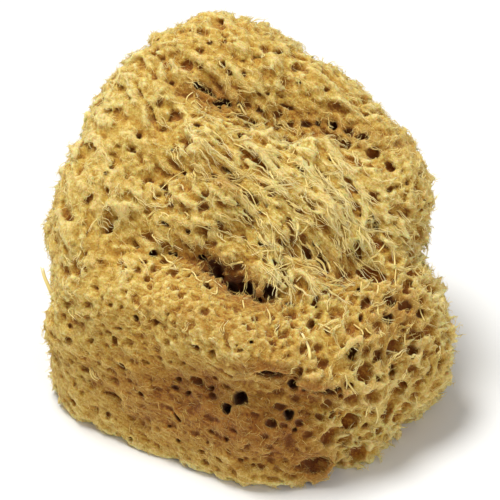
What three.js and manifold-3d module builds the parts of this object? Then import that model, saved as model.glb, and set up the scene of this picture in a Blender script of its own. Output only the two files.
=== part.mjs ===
// A dry natural sea sponge, standing on the flat cut where it was taken off its rock.
// Millimetres, +Z up. The origin is on the surface that it stands on, under the middle of its outline.
//
// The body is one solid: lobes run together, wrapped by one closed skin with its tufts and furrows, and
// with the pits and slits cut out of it. Forms that show in the photograph are placed by a pixel of it,
// x to the right and y down. The heart's plane is square to the line of sight and passes through the
// sponge's heart; away is how far a form lies behind that plane.
import * as THREE from "three";
import { mergeVertices } from "three/addons/utils/BufferGeometryUtils.js";
import Module from "manifold-3d";

// Driving dimensions
const SPONGE_WIDTH = 125; // across, as the photograph shows it
const PHOTO_WIDTH_PX = 416; // the same, in pixels
const PHOTO_MIDDLE = { x: 250, y: 253 };
const LOOK_DOWN_DEG = 35; // the line of sight falls by this much
const EYE_DISTANCE = 700;
const HEART = new THREE.Vector3(0, 0, 42); // the point that the photograph's middle looks at

// The skin
const SKIN_DETAIL = 15; // how finely each face of the icosahedron behind the skin is split
const FURTHEST = 105; // no part of the skin is further from the heart
const MARCH_STEP = 1.5; // stride of the search for the surface
const HALVINGS = 12; // how often the last stride is halved
const LOBE_BLEND = 2.5; // how softly the lobes run together
const TUFT_COUNT = 210;
const TUFT_HEIGHT = [1.2, 3.4]; // from the lowest tuft to the tallest
const TUFT_RADIUS = 3.1;
const RIPPLE_LENGTH = [9, 16]; // from crest to crest
const RIPPLE_HEIGHT = 0.9;
const RIPPLE_WAVES = 14;
const WALL_RELIEF = 0.25; // the smooth wall's relief, as a part of the relief elsewhere
const WALL_FACE = new THREE.Vector3(-0.53, -0.85, 0).normalize(); // where the smooth wall faces
const WALL_FROM = [34, 44]; // distance along that direction where the wall begins and where it is smooth
const WALL_TOP = [46, 56]; // height where the wall ends, from all smooth to all rough
const WALL_RIGHT = [12, 24]; // the same to the right

// Pits: how far their cutters reach out of the skin, and how they narrow inward
const MOUTH_OUT = 4;
const MOUTH_WIDE = 1.1; // as a part of the pit's width
const BELLY = { wide: 0.8, deep: 0.62 };
const PIT_SIDES = 6;
const SMALL_PIT_SIDES = 5;
const SMALL_PIT = 1.2; // half width under which a pit is small
const SIGHT_SHARE = 0.55; // a photographed pit's axis leans this much to the line of sight
const LEVEL_BELOW = 14; // a photographed pit whose mouth is lower runs level, clear of the base

// Pits that the photograph doesn't show, scattered over the back and the sides
const SCATTERED_PITS = 40;
const SCATTER_WIDE = [1.1, 2.3];
const SCATTER_DEEP = [3, 6];
const SCATTER_APART = 8;
const SCATTER_TALL = 0.85; // as a part of the width
const SCATTER_ABOVE = 7; // height of the lowest one
const HIDDEN_FROM = -0.15; // how far the skin's outward normal leans away from the eye

const MM_PER_PX = SPONGE_WIDTH / PHOTO_WIDTH_PX;
const LOOK_DOWN = THREE.MathUtils.degToRad(LOOK_DOWN_DEG);
const RIGHT = new THREE.Vector3(1, 0, 0);
const UP = new THREE.Vector3(0, Math.sin(LOOK_DOWN), Math.cos(LOOK_DOWN));
const AWAY = new THREE.Vector3(0, Math.cos(LOOK_DOWN), -Math.sin(LOOK_DOWN));
const EYE = HEART.clone().addScaledVector(AWAY, -EYE_DISTANCE);

// The lobes. size is half the width, height and depth. A lobe placed by a pixel lies square to the line
// of sight and is turned in the picture, anticlockwise. One placed in millimetres stands upright and is
// turned about the vertical. square is the power of the outline: 2 is an ellipse, and more is boxier.
const LOBES = [
  { name: "core", at: [-4, 4, 24], size: [46, 50, 32], turn: 0, square: 2.6 },
  { name: "back", at: [1, 19, 20], size: [45, 54, 27], turn: 0, square: 2.6 },
  { name: "front_wall", at: [-16.5, -17.5, 10], size: [41.5, 44, 28.7], turn: -32, square: 4 },
  { name: "front_corner", at: [9, -37, 7], size: [20, 38, 22], turn: 10, square: 3 },
  { name: "left_corner", at: [-35, -4, 14], size: [19, 44, 26], turn: -20, square: 2.6 },
  { name: "right_corner", at: [27, -20, 6], size: [26, 42, 24], turn: 56, square: 4 },
  { name: "crown", x: 289, y: 103, away: 7, size: [38, 15, 19], turn: -33, square: 2.8 },
  { name: "crown_left", x: 217, y: 81, away: 4, size: [18, 15, 17], turn: 0, square: 2.6 },
  { name: "left_shoulder", x: 143, y: 118, away: 2, size: [14, 20, 22], turn: -28, square: 2.6 },
  { name: "left_flank", x: 108, y: 215, away: 0, size: [17, 23, 26], turn: -15, square: 2.4 },
  { name: "upper_left", x: 195, y: 165, away: -4, size: [22, 20, 20], turn: 20, square: 2 },
  { name: "mound", x: 300, y: 200, away: -5, size: [38, 22, 17], turn: -24, square: 2.2 },
  { name: "right_shoulder", x: 382, y: 188, away: 2, size: [11, 17, 22], turn: 8, square: 2.6 },
  { name: "right_bulge", x: 394, y: 337, away: 0, size: [16, 21, 24], turn: 0, square: 2.5 },
];

// Furrows along a row of pixels, wide and deep in millimetres: behind the ledge, between the crown and
// the mound, between the mound and the left flank, under the ledge, and down the right side. The rest
// are notches of the outline, where a third number says how far away a point lies.
const FURROWS = [
  { row: [[120, 243], [165, 257], [215, 270], [250, 297], [300, 312]], wide: 6, deep: 7 },
  { row: [[178, 84], [230, 106], [300, 121], [345, 130], [400, 156]], wide: 5, deep: 6.5 },
  { row: [[150, 100], [165, 150], [150, 200], [120, 240]], wide: 5, deep: 2 },
  { row: [[178, 392], [215, 396], [250, 402], [290, 402], [335, 412]], wide: 6.5, deep: 5 },
  { row: [[340, 265], [362, 300], [396, 330], [400, 380]], wide: 4, deep: 2.5 },
  { row: [[275, 330], [330, 345], [352, 385]], wide: 3.5, deep: 2 },
  { row: [[300, 240], [312, 262], [345, 285]], wide: 4.5, deep: 3 },
  { row: [[436, 254, -6], [425, 256, -8], [400, 260, -12]], wide: 5.5, deep: 5.5 },
  { row: [[403, 113, 10], [402, 122, 8], [388, 136, 4]], wide: 5, deep: 5.5 },
  { row: [[140, 62], [152, 76], [168, 96]], wide: 5, deep: 3.5 },
  { row: [[45, 258, -5], [46, 280, -6], [52, 296, -8]], wide: 5, deep: 4 },
  { row: [[52, 162, 3], [48, 180, 0], [51, 196, -3]], wide: 6, deep: 6 },
  { row: [[338, 487], [344, 470], [350, 455]], wide: 4, deep: 4 },
];

// Ridges, raised the same way: the ledge's lip, the mound's crest and the crown's front, the shoulder's
// corner and the foot right of the cave.
const RIDGES = [
  { row: [[92, 288], [140, 288], [200, 312], [250, 352], [325, 382], [372, 398]], wide: 6, deep: 3.2 },
  { row: [[200, 150], [260, 170], [330, 215], [390, 255]], wide: 7, deep: 2.5 },
  { row: [[185, 60], [250, 70], [320, 95], [375, 130]], wide: 6, deep: 1.6 },
  { row: [[114, 80], [106, 90]], wide: 5, deep: 1 },
  { row: [[360, 462], [376, 455]], wide: 5, deep: 3.5 },
];

// Pits in the photograph, wide, tall and deep in millimetres; wide and tall are half sizes.
const PITS = [
  { x: 213, y: 267, wide: 2.5, tall: 2.2, deep: 9 },
  { x: 203, y: 257, wide: 1.7, tall: 1.5, deep: 5 },
  { x: 239, y: 288, wide: 4.2, tall: 2.8, deep: 11, turn: -30 },
  { x: 272, y: 292, wide: 2.8, tall: 2.8, deep: 6 },
  { x: 288, y: 303, wide: 1.5, tall: 1.5, deep: 3 },
  { x: 256, y: 320, wide: 1.8, tall: 1.6, deep: 3 },
  { x: 314, y: 325, wide: 1.9, tall: 1.9, deep: 5 },
  { x: 338, y: 313, wide: 3.4, tall: 2.4, deep: 3 },
  { x: 391, y: 300, wide: 2.2, tall: 2.2, deep: 4 },
  { x: 407, y: 310, wide: 2.1, tall: 2.3, deep: 3.5 },
  { x: 387, y: 320, wide: 2, tall: 2.1, deep: 6 },
  { x: 360, y: 295, wide: 1.3, tall: 2.2, deep: 4 },
  { x: 352, y: 352, wide: 2.4, tall: 2.2, deep: 5 },
  { x: 371, y: 352, wide: 2.4, tall: 2.4, deep: 3 },
  { x: 393, y: 371, wide: 2, tall: 3.2, deep: 7 },
  { x: 414, y: 340, wide: 2.7, tall: 2.7, deep: 3.5 },
  { x: 430, y: 356, wide: 2, tall: 2.4, deep: 3.5 },
  { x: 412, y: 372, wide: 2, tall: 2.2, deep: 3 },
  { x: 298, y: 374, wide: 2.6, tall: 1.5, deep: 5, turn: -10 },
  { x: 271, y: 372, wide: 2.4, tall: 1.3, deep: 4, turn: -10 },
  { x: 294, y: 387, wide: 2, tall: 1.7, deep: 5 },
  { x: 322, y: 392, wide: 2.1, tall: 1.4, deep: 4 },
  { x: 327, y: 405, wide: 2.2, tall: 1.7, deep: 3.5 },
  { x: 239, y: 398, wide: 2.8, tall: 2.2, deep: 8, turn: 20 },
  { x: 226, y: 409, wide: 1.8, tall: 1.8, deep: 6 },
  { x: 289, y: 415, wide: 1.7, tall: 1.6, deep: 6 },
  { x: 295, y: 432, wide: 1.3, tall: 1.1, deep: 4 },
  { x: 271, y: 425, wide: 1.8, tall: 1.5, deep: 4 },
  { x: 290, y: 444, wide: 2.2, tall: 1.6, deep: 4 },
  { x: 271, y: 459, wide: 1.5, tall: 1.4, deep: 4 },
  { x: 318, y: 468, wide: 4.3, tall: 3, deep: 8 },
  { x: 379, y: 433, wide: 1.5, tall: 2.6, deep: 4 },
  { x: 365, y: 411, wide: 1.4, tall: 2, deep: 4 },
  { x: 346, y: 446, wide: 1.6, tall: 1.5, deep: 4 },
  { x: 308, y: 256, wide: 2, tall: 3.6, deep: 4, turn: 20 },
  { x: 342, y: 277, wide: 1.8, tall: 3, deep: 4, turn: -15 },
  { x: 297, y: 240, wide: 3.2, tall: 1.8, deep: 4, turn: -25 },
  { x: 250, y: 217, wide: 3.2, tall: 2.1, deep: 4, turn: -30 },
  { x: 232, y: 188, wide: 2, tall: 1.3, deep: 3 },
  { x: 202, y: 208, wide: 1.6, tall: 1.6, deep: 5 },
  { x: 180, y: 204, wide: 1.5, tall: 1.4, deep: 4 },
  { x: 188, y: 236, wide: 1.5, tall: 1.3, deep: 4 },
  { x: 165, y: 222, wide: 2, tall: 1.3, deep: 4, turn: 40 },
  { x: 153, y: 252, wide: 1.8, tall: 1.3, deep: 5 },
  { x: 173, y: 254, wide: 1.5, tall: 1.2, deep: 4 },
  { x: 136, y: 318, wide: 1.2, tall: 1.2, deep: 4 },
  { x: 155, y: 322, wide: 1.1, tall: 1.1, deep: 4 },
  { x: 212, y: 352, wide: 1.6, tall: 1.4, deep: 3 },
  { x: 195, y: 347, wide: 1.3, tall: 1.2, deep: 3 },
  { x: 118, y: 366, wide: 2.6, tall: 1.2, deep: 3, turn: -20 },
  { x: 111, y: 396, wide: 4.2, tall: 1, deep: 4, turn: -8 },
  { x: 178, y: 384, wide: 2, tall: 1.2, deep: 3, turn: -10 },
  { x: 142, y: 134, wide: 1.3, tall: 1.2, deep: 4 },
  { x: 163, y: 133, wide: 1.6, tall: 1.4, deep: 3 },
  { x: 198, y: 88, wide: 2, tall: 1.3, deep: 5, turn: -20 },
  { x: 222, y: 103, wide: 2.8, tall: 1.4, deep: 5, turn: -20 },
  { x: 166, y: 64, wide: 1.9, tall: 1.6, deep: 3 },
  { x: 306, y: 124, wide: 1.7, tall: 1.6, deep: 4 },
  { x: 321, y: 125, wide: 1.6, tall: 1.5, deep: 4 },
  { x: 335, y: 125, wide: 1.6, tall: 1.5, deep: 5 },
  { x: 354, y: 134, wide: 2.2, tall: 1.9, deep: 4 },
  { x: 374, y: 154, wide: 2.4, tall: 2, deep: 4 },
  { x: 392, y: 167, wide: 2, tall: 2.1, deep: 4 },
  { x: 400, y: 211, wide: 2.5, tall: 2, deep: 4 },
  { x: 378, y: 226, wide: 1.8, tall: 1.5, deep: 6 },
  { x: 269, y: 92, wide: 1.3, tall: 1.2, deep: 3 },
];

// A point of the photograph, at a depth behind the heart's plane.
function seen(x, y, away = 0) {
  const onPlane = HEART.clone()
    .addScaledVector(RIGHT, (x - PHOTO_MIDDLE.x) * MM_PER_PX)
    .addScaledVector(UP, (PHOTO_MIDDLE.y - y) * MM_PER_PX);
  return EYE.clone().lerp(onPlane, 1 + away / EYE_DISTANCE);
}

// A repeatable stream of random numbers from 0 to 1.
function randomStream(seed) {
  let state = seed;
  return () => {
    state = (state + 0x6d2b79f5) | 0;
    let t = Math.imul(state ^ (state >>> 15), 1 | state);
    t = (t + Math.imul(t ^ (t >>> 7), 61 | t)) ^ t;
    return ((t ^ (t >>> 14)) >>> 0) / 4294967296;
  };
}

const between = ([low, high], share) => low + (high - low) * share;

function randomDirection(random) {
  const z = 2 * random() - 1;
  const a = 2 * Math.PI * random();
  const r = Math.sqrt(1 - z * z);
  return new THREE.Vector3(r * Math.cos(a), r * Math.sin(a), z);
}

// Each lobe's middle and its three directions.
function lobeForm({ x, y, away, at, size, turn, square }) {
  const a = THREE.MathUtils.degToRad(turn);
  const form = { size, square };
  if (at) {
    form.middle = new THREE.Vector3(...at);
    form.across = new THREE.Vector3(Math.cos(a), Math.sin(a), 0);
    form.up = new THREE.Vector3(0, 0, 1);
    form.deep = new THREE.Vector3(-Math.sin(a), Math.cos(a), 0);
  } else {
    form.middle = seen(x, y, away);
    form.across = RIGHT.clone().multiplyScalar(Math.cos(a)).addScaledVector(UP, Math.sin(a));
    form.up = UP.clone().multiplyScalar(Math.cos(a)).addScaledVector(RIGHT, -Math.sin(a));
    form.deep = AWAY;
  }
  return form;
}
const lobeForms = LOBES.map(lobeForm);

// Distance from a point to the lobes' joined surface, roughly, less than 0 inside.
const toLobe = new THREE.Vector3();
function outside(point) {
  let nearness = 0;
  for (const { middle, across, up, deep, size, square } of lobeForms) {
    toLobe.subVectors(point, middle);
    const q = [toLobe.dot(across) / size[0], toLobe.dot(up) / size[1], toLobe.dot(deep) / size[2]];
    const reach = Math.pow(q.reduce((sum, c) => sum + Math.pow(Math.abs(c), square), 0), 1 / square);
    const distance = (reach - 1) * Math.min(...size);
    nearness += Math.exp(-distance / LOBE_BLEND);
  }
  return -LOBE_BLEND * Math.log(nearness);
}

// The first point of the lobes' surface met from a start along a direction, or null.
function firstMet(start, direction, length) {
  const point = new THREE.Vector3();
  const at = (r) => outside(point.copy(start).addScaledVector(direction, r));
  let near = 0;
  while (near < length && at(near) > 0) near += MARCH_STEP;
  if (near >= length) return null;
  let far = near;
  near -= MARCH_STEP;
  for (let i = 0; i < HALVINGS; i += 1) {
    const middle = (near + far) / 2;
    if (at(middle) > 0) near = middle;
    else far = middle;
  }
  at(far);
  return point.clone();
}

// The lobes' surface along a direction from the heart, found from outside.
const skinPoint = (direction) =>
  firstMet(HEART.clone().addScaledVector(direction, FURTHEST), direction.clone().negate(), FURTHEST);

// The lobes' surface at a pixel of the photograph.
function surfaceAt(x, y) {
  const start = seen(x, y, -FURTHEST);
  return firstMet(start, seen(x, y, FURTHEST).sub(start).normalize(), 2 * FURTHEST);
}

// Outward normal of the lobes' surface.
function normalAt(point) {
  const step = 0.5;
  const slope = (axis) => {
    const ahead = point.clone();
    const behind = point.clone();
    ahead[axis] += step;
    behind[axis] -= step;
    return outside(ahead) - outside(behind);
  };
  return new THREE.Vector3(slope("x"), slope("y"), slope("z")).normalize();
}

// How much of the relief a place takes: less on the smooth front wall.
function roughness(point) {
  const facing = THREE.MathUtils.smoothstep(point.dot(WALL_FACE), ...WALL_FROM);
  const below = 1 - THREE.MathUtils.smoothstep(point.z, ...WALL_TOP);
  const leftward = 1 - THREE.MathUtils.smoothstep(point.x, ...WALL_RIGHT);
  return 1 - (1 - WALL_RELIEF) * facing * below * leftward;
}

const tuftRandom = randomStream(41);
const tufts = Array.from({ length: TUFT_COUNT }, () => ({
  at: skinPoint(randomDirection(tuftRandom)),
  height: between(TUFT_HEIGHT, tuftRandom()),
}));

const waveRandom = randomStream(7);
const waves = Array.from({ length: RIPPLE_WAVES }, () => ({
  course: randomDirection(waveRandom).multiplyScalar(
    (2 * Math.PI) / between(RIPPLE_LENGTH, waveRandom()),
  ),
  phase: 2 * Math.PI * waveRandom(),
}));

const ripple = (point) =>
  waves.reduce((sum, w) => sum + Math.sin(w.course.dot(point) + w.phase), 0) / Math.sqrt(RIPPLE_WAVES / 2);

const tuftsOver = (point) =>
  tufts.reduce((sum, t) => {
    const d = t.at.distanceTo(point) / TUFT_RADIUS;
    return d < 3 ? sum + t.height * Math.exp(-d * d) : sum;
  }, 0);

// Rows of pixels as rows of points on the lobes' surface, or at the depth that a third number gives.
const onSurface = (forms) =>
  forms.map(({ row, wide, deep }) => ({
    points: row.map(([x, y, away]) => (away === undefined ? surfaceAt(x, y) : seen(x, y, away))),
    wide,
    deep,
  }));
const furrows = onSurface(FURROWS);
const ridges = onSurface(RIDGES);

// How deep a row of forms is at a point: the most of any of them.
function rowDepth(forms, point) {
  let most = 0;
  const nearest = new THREE.Vector3();
  for (const { points, wide, deep } of forms)
    for (let i = 1; i < points.length; i += 1) {
      new THREE.Line3(points[i - 1], points[i]).closestPointToPoint(point, true, nearest);
      const d = nearest.distanceTo(point) / wide;
      most = Math.max(most, deep * Math.exp(-d * d));
    }
  return most;
}

function relief(point) {
  const rough = roughness(point);
  const shaped = rowDepth(ridges, point) - rowDepth(furrows, point);
  return shaped + rough * (tuftsOver(point) + RIPPLE_HEIGHT * ripple(point));
}

// The closed skin: an icosahedron's fine net, each point moved out to the lobes and raised by the relief.
function skinGeometry() {
  const skin = new THREE.IcosahedronGeometry(1, SKIN_DETAIL);
  skin.deleteAttribute("normal");
  skin.deleteAttribute("uv");
  const net = mergeVertices(skin, 1e-4);
  const position = net.getAttribute("position");
  const direction = new THREE.Vector3();
  for (let i = 0; i < position.count; i += 1) {
    direction.fromBufferAttribute(position, i).normalize();
    const point = skinPoint(direction);
    point.addScaledVector(direction, relief(point));
    position.setXYZ(i, point.x, point.y, point.z);
  }
  return net;
}

const wasm = await Module();
wasm.setup();

function solid(geometry) {
  const plain = geometry.clone();
  plain.deleteAttribute("normal");
  plain.deleteAttribute("uv");
  const merged = mergeVertices(plain, 1e-4);
  return new wasm.Manifold(
    new wasm.Mesh({
      numProp: 3,
      vertProperties: merged.getAttribute("position").array,
      triVerts: new Uint32Array(merged.index.array),
    }),
  );
}

function geometryOf(manifold) {
  const mesh = manifold.getMesh();
  const geometry = new THREE.BufferGeometry();
  geometry.setAttribute("position", new THREE.BufferAttribute(mesh.vertProperties, 3));
  geometry.setIndex(new THREE.BufferAttribute(mesh.triVerts, 1));
  geometry.computeVertexNormals();
  return geometry;
}

// A pit's cutter: its mouth at the surface point, narrowing along the inward direction.
function pitCutter(at, inward, wide, tall, deep, turn) {
  const profile = [
    new THREE.Vector2(0, -deep),
    new THREE.Vector2(BELLY.wide, -deep * BELLY.deep),
    new THREE.Vector2(MOUTH_WIDE, MOUTH_OUT),
    new THREE.Vector2(0, MOUTH_OUT),
  ];
  const sides = Math.max(wide, tall) < SMALL_PIT ? SMALL_PIT_SIDES : PIT_SIDES;
  const cutter = new THREE.LatheGeometry(profile, sides);
  const across = RIGHT.clone().multiplyScalar(Math.cos(turn)).addScaledVector(UP, Math.sin(turn));
  const outward = inward.clone().negate();
  across.addScaledVector(outward, -across.dot(outward)).normalize();
  const rise = new THREE.Vector3().crossVectors(across, outward);
  cutter.scale(wide, 1, tall);
  cutter.applyMatrix4(new THREE.Matrix4().makeBasis(across, outward, rise).setPosition(at));
  return solid(cutter);
}

// The pits of the photograph, their axes between the line of sight and the surface's normal.
function photographedPits() {
  return PITS.map(({ x, y, wide, tall, deep, turn = 0 }) => {
    const at = surfaceAt(x, y);
    const inward = normalAt(at).negate().multiplyScalar(1 - SIGHT_SHARE);
    inward.addScaledVector(AWAY, SIGHT_SHARE);
    if (at.z < LEVEL_BELOW) inward.z = 0;
    inward.normalize();
    return pitCutter(at, inward, wide, tall, deep, THREE.MathUtils.degToRad(turn));
  });
}

// Pits where the photograph doesn't look: on skin that faces away from the eye.
function scatteredPits() {
  const random = randomStream(23);
  const taken = [];
  while (taken.length < SCATTERED_PITS) {
    const at = skinPoint(randomDirection(random));
    const normal = normalAt(at);
    const hidden = normal.dot(AWAY) > HIDDEN_FROM;
    const clear = at.z > SCATTER_ABOVE && taken.every((pit) => pit.at.distanceTo(at) > SCATTER_APART);
    if (hidden && clear) taken.push({ at, inward: normal.negate() });
  }
  return taken.map(({ at, inward }) => {
    const wide = between(SCATTER_WIDE, random());
    const deep = between(SCATTER_DEEP, random());
    return pitCutter(at, inward, wide, wide * SCATTER_TALL, deep, Math.PI * random());
  });
}

// What lies under the cut, to be taken away.
const underCut = solid(new THREE.BoxGeometry(300, 300, 100).translate(0, 0, -50));

const pits = wasm.Manifold.union([...photographedPits(), ...scatteredPits()]);
const body = solid(skinGeometry()).subtract(pits).subtract(underCut);
const geometry = geometryOf(body);
geometry.computeBoundingBox();
const middle = geometry.boundingBox.getCenter(new THREE.Vector3());
geometry.translate(-middle.x, -middle.y, 0);

const sponge = new THREE.Mesh(
  geometry,
  new THREE.MeshStandardMaterial({ color: 0xc8a55f, roughness: 0.95, metalness: 0 }),
);
sponge.name = "sponge";

const part = new THREE.Group();
part.add(sponge);
part.userData.heart = [HEART.x - middle.x, HEART.y - middle.y, HEART.z];
export default part;
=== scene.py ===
"""A dry natural sea sponge: a body of felted fibre with its pits and frayed walls, and the fibres on it.

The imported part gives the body's form. It becomes a field of distances on a grid, in which pits are cut
and tufts are raised, and that field becomes the visible body. Loose fibres grow on it as fine tubes.
Lengths are in millimetres up to the making of a mesh, which is in metres. Forms that the photograph
shows are placed by a pixel of it, x to the right and y down, and lie on the body's surface there.
"""

import math
from collections import namedtuple

import bmesh
import bpy
import numpy as np
import openvdb as vdb
from mathutils import Matrix, Vector
from mathutils.bvhtree import BVHTree
from mathutils.kdtree import KDTree


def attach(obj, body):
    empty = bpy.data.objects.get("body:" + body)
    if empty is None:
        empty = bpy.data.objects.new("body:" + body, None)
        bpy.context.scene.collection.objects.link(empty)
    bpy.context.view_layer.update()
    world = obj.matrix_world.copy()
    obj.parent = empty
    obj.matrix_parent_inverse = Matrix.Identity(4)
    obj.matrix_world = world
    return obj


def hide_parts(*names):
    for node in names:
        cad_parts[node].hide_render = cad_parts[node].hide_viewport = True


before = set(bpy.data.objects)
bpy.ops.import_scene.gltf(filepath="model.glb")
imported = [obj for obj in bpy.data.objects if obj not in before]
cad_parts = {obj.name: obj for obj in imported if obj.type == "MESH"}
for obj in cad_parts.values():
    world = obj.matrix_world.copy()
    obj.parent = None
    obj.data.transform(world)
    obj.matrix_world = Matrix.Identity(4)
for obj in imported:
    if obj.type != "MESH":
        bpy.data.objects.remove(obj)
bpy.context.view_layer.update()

NODE = "sponge"
SEED = 5

# The photograph's view
MM_PER_PX = 125 / 416
PHOTO_SIZE = 500
PHOTO_MIDDLE = (250, 253)  # the pixel where the heart shows
LOOK_DOWN = math.radians(35)
EYE_DISTANCE = 700.0
HEART = np.array((0.46, 1.83, 42.0))
RIGHT = np.array((1.0, 0.0, 0.0))
UP = np.array((0.0, math.sin(LOOK_DOWN), math.cos(LOOK_DOWN)))
AWAY = np.array((0.0, math.cos(LOOK_DOWN), -math.sin(LOOK_DOWN)))
EYE = HEART - AWAY * EYE_DISTANCE

# The field of distances
VOXEL = 0.55
BAND = 6.6  # distances are kept up to this far from the surface
PAD = 14  # voxels round the part's box
FACET_BLUR = 1.3  # rounds the part's flat facets
FLOOR_GAP = 0.2  # fibres stay this far above the floor
BODY_FACES = 196000
SEEN = 0.5  # what faces the eye by more than this keeps more of them
SLIVER = 2e-6  # in metres: edges shorter than this are joined
PLAIN_WEIGHT = 0.5  # a lower weight keeps more triangles
DETAIL_WEIGHT = 0.25  # on the side that the photograph shows

# Lumps all over: how far from crest to crest, and how high
LUMPS = ((9.0, 0.9), (4.5, 0.68), (2.2, 0.24))
GRAIN = ((2.0, 0.2), (1.15, 0.17))
# Folds along the fibres' flow
STREAK_LONG = 9.0
STREAK_WIDE = 1.8
STREAK_DEPTH = 3.0  # how far from the surface the field is folded
FINER = 2.1  # noise is joined by finer noise, shifted against it and of half its height
FINER_SHIFT = 7.3
# What hangs on the hidden sides lies along this, which is mostly down
SAG = np.array((0.25, 0.1, 1.0))
SAG_SHARE = 0.7

# One kind of surface. Of its pits: how far apart they are, their half width, and their depth and
# length as parts of that. Of its tufts: their height, how far they lean along the flow, the half width
# of their foot, and how far apart they are. Then the height of its folds along the flow, and its
# strands: how many, against the combed mound, and how long.
Kind = namedtuple("Kind", "apart wide deep long tuft lean foot tufts_apart fold strands strand_long")
KINDS = {
    "honeycomb": Kind(4.0, 2.6, 0.8, 1.1, 2.6, 0.5, 0.7, 2.4, 0.45, 0.2, 4.0),
    "combed": Kind(3.8, 1.4, 0.7, 2.6, 3.6, 2.6, 0.9, 2.3, 1.1, 1.0, 7.0),
    "knobby": Kind(3.8, 1.8, 0.34, 1.6, 1.5, 1.4, 0.8, 1.9, 0.85, 0.2, 4.0),
    "cottony": Kind(4.2, 2.0, 0.2, 1.8, 0.8, 0.7, 0.95, 1.8, 0.6, 0.14, 3.5),
    "fuzzy": Kind(2.4, 1.0, 0.42, 1.1, 1.0, 0.4, 0.6, 1.8, 0.2, 0.1, 3.0),
    "wall": Kind(2.8, 0.75, 0.45, 1.9, 0.0, 0.0, 0.5, 3.0, 0.3, 0.02, 3.0),
    "porous": Kind(3.6, 1.0, 0.75, 1.7, 0.6, 0.3, 0.6, 2.4, 0.45, 0.02, 3.0),
    "hidden": Kind(3.5, 2.0, 0.75, 1.2, 1.9, 0.6, 0.8, 2.3, 0.5, 0.15, 3.8),
}

# Where each kind lies: a soft ellipse of pixels, its half sizes, how far it is turned anticlockwise,
# and the direction of its fibres in the picture. What the photograph doesn't show is "hidden".
Zone = namedtuple("Zone", "kind x y across up turn flow")
ZONES = [Zone(*row) for row in (
    ("knobby", 235, 65, 90, 42, -20, -40), ("knobby", 335, 110, 70, 32, -38, -35),
    ("cottony", 130, 120, 50, 60, 30, -60), ("cottony", 85, 225, 45, 65, 10, -70),
    ("combed", 245, 170, 75, 45, -25, -36), ("combed", 345, 195, 62, 48, -25, -58),
    ("combed", 320, 262, 70, 28, -12, -72), ("knobby", 170, 225, 60, 40, 0, -25),
    ("honeycomb", 380, 345, 80, 80, 0, 60), ("cottony", 395, 165, 34, 50, 0, 70),
    ("honeycomb", 300, 320, 45, 30, -25, 70), ("fuzzy", 175, 315, 115, 38, -20, 60),
    ("fuzzy", 270, 365, 60, 24, -20, 60), ("wall", 150, 385, 110, 55, -22, -22),
    ("wall", 235, 430, 85, 45, -22, -22), ("porous", 262, 440, 55, 34, -15, -22),
    ("porous", 310, 400, 60, 18, -10, -22), ("honeycomb", 345, 445, 40, 40, 0, 50),
)]
ZONE_EDGE = 1.6  # the higher this power, the sooner an ellipse ends
STAIN_AND_SHADE_EDGE = 1.0
HIDDEN_SHARE = 0.06  # of what shows, so that no zone ends in a line
LEAST_SHARE = 0.02  # a zone that takes less of a point isn't felt there
TURN_EDGE = 3.0  # how soon the hidden sides begin where the surface turns away from the eye
TURN_START = 0.6

# Soft patches of colour, placed as the zones are: brown stains, and painted shade in the crevice, the
# creases, under the ledges and in the cave. How much browner, or paler where less than 0.
StainAndShade = namedtuple("StainAndShade", "x y across up turn amount")
STAINS_AND_SHADE = [StainAndShade(*row) for row in (
    (265, 430, 75, 42, -15, 0.9), (232, 280, 46, 16, -33, 1.6), (392, 340, 42, 50, 0, 0.5),
    (160, 400, 80, 36, -22, 0.65), (335, 128, 60, 13, -15, 0.7), (215, 97, 34, 12, -20, 1.0),
    (268, 370, 28, 9, -8, 1.2), (318, 391, 34, 9, -8, 1.2), (318, 470, 20, 16, 0, 1.1),
    (205, 384, 26, 14, -15, 0.5), (292, 416, 14, 12, 0, 0.6), (330, 262, 40, 14, -30, 0.5),
    (402, 305, 24, 16, -20, 0.5), (225, 182, 26, 8, -35, 0.6), (250, 335, 90, 14, -22, 0.25),
    (130, 205, 30, 45, 0, -0.5), (133, 203, 18, 9, 35, -0.8), (204, 142, 20, 9, -35, -0.9),
    (118, 278, 14, 18, -20, -0.8), (336, 166, 30, 14, -45, -0.8), (275, 160, 40, 14, -40, -0.6),
    (330, 200, 60, 30, -20, -0.3), (150, 292, 40, 12, -15, -0.2), (190, 320, 70, 20, -22, 0.25),
    (95, 150, 30, 60, 20, -0.5), (120, 95, 40, 30, 35, -0.35), (70, 230, 24, 50, 0, -0.3),
)]

# Notches of the photographed outline: a pixel just outside it, and the half width in millimetres.
Notch = namedtuple("Notch", "x y wide")
NOTCHES = [Notch(*row) for row in (
    (143, 45, 3.0), (86, 101, 3.0), (62, 157, 3.4), (56, 180, 2.2), (49, 264, 2.6), (50, 282, 2.1),
    (43, 312, 1.7), (46, 358, 2.2), (48, 393, 1.8), (222, 6, 2.8), (238, 10, 3.2), (256, 14, 3.4),
    (276, 22, 2.6), (353, 70, 2.8), (392, 112, 2.8), (431, 169, 2.2), (438, 190, 3.2), (451, 292, 2.6),
    (457, 322, 1.8), (452, 386, 2.8), (440, 410, 3.2), (411, 445, 3.4),
)]
NOTCH_LONG = 9.0  # how far a notch runs along the line of sight, either way
NOTCH_SEARCH = 90.0  # how far before and behind the heart the body is looked for

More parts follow.
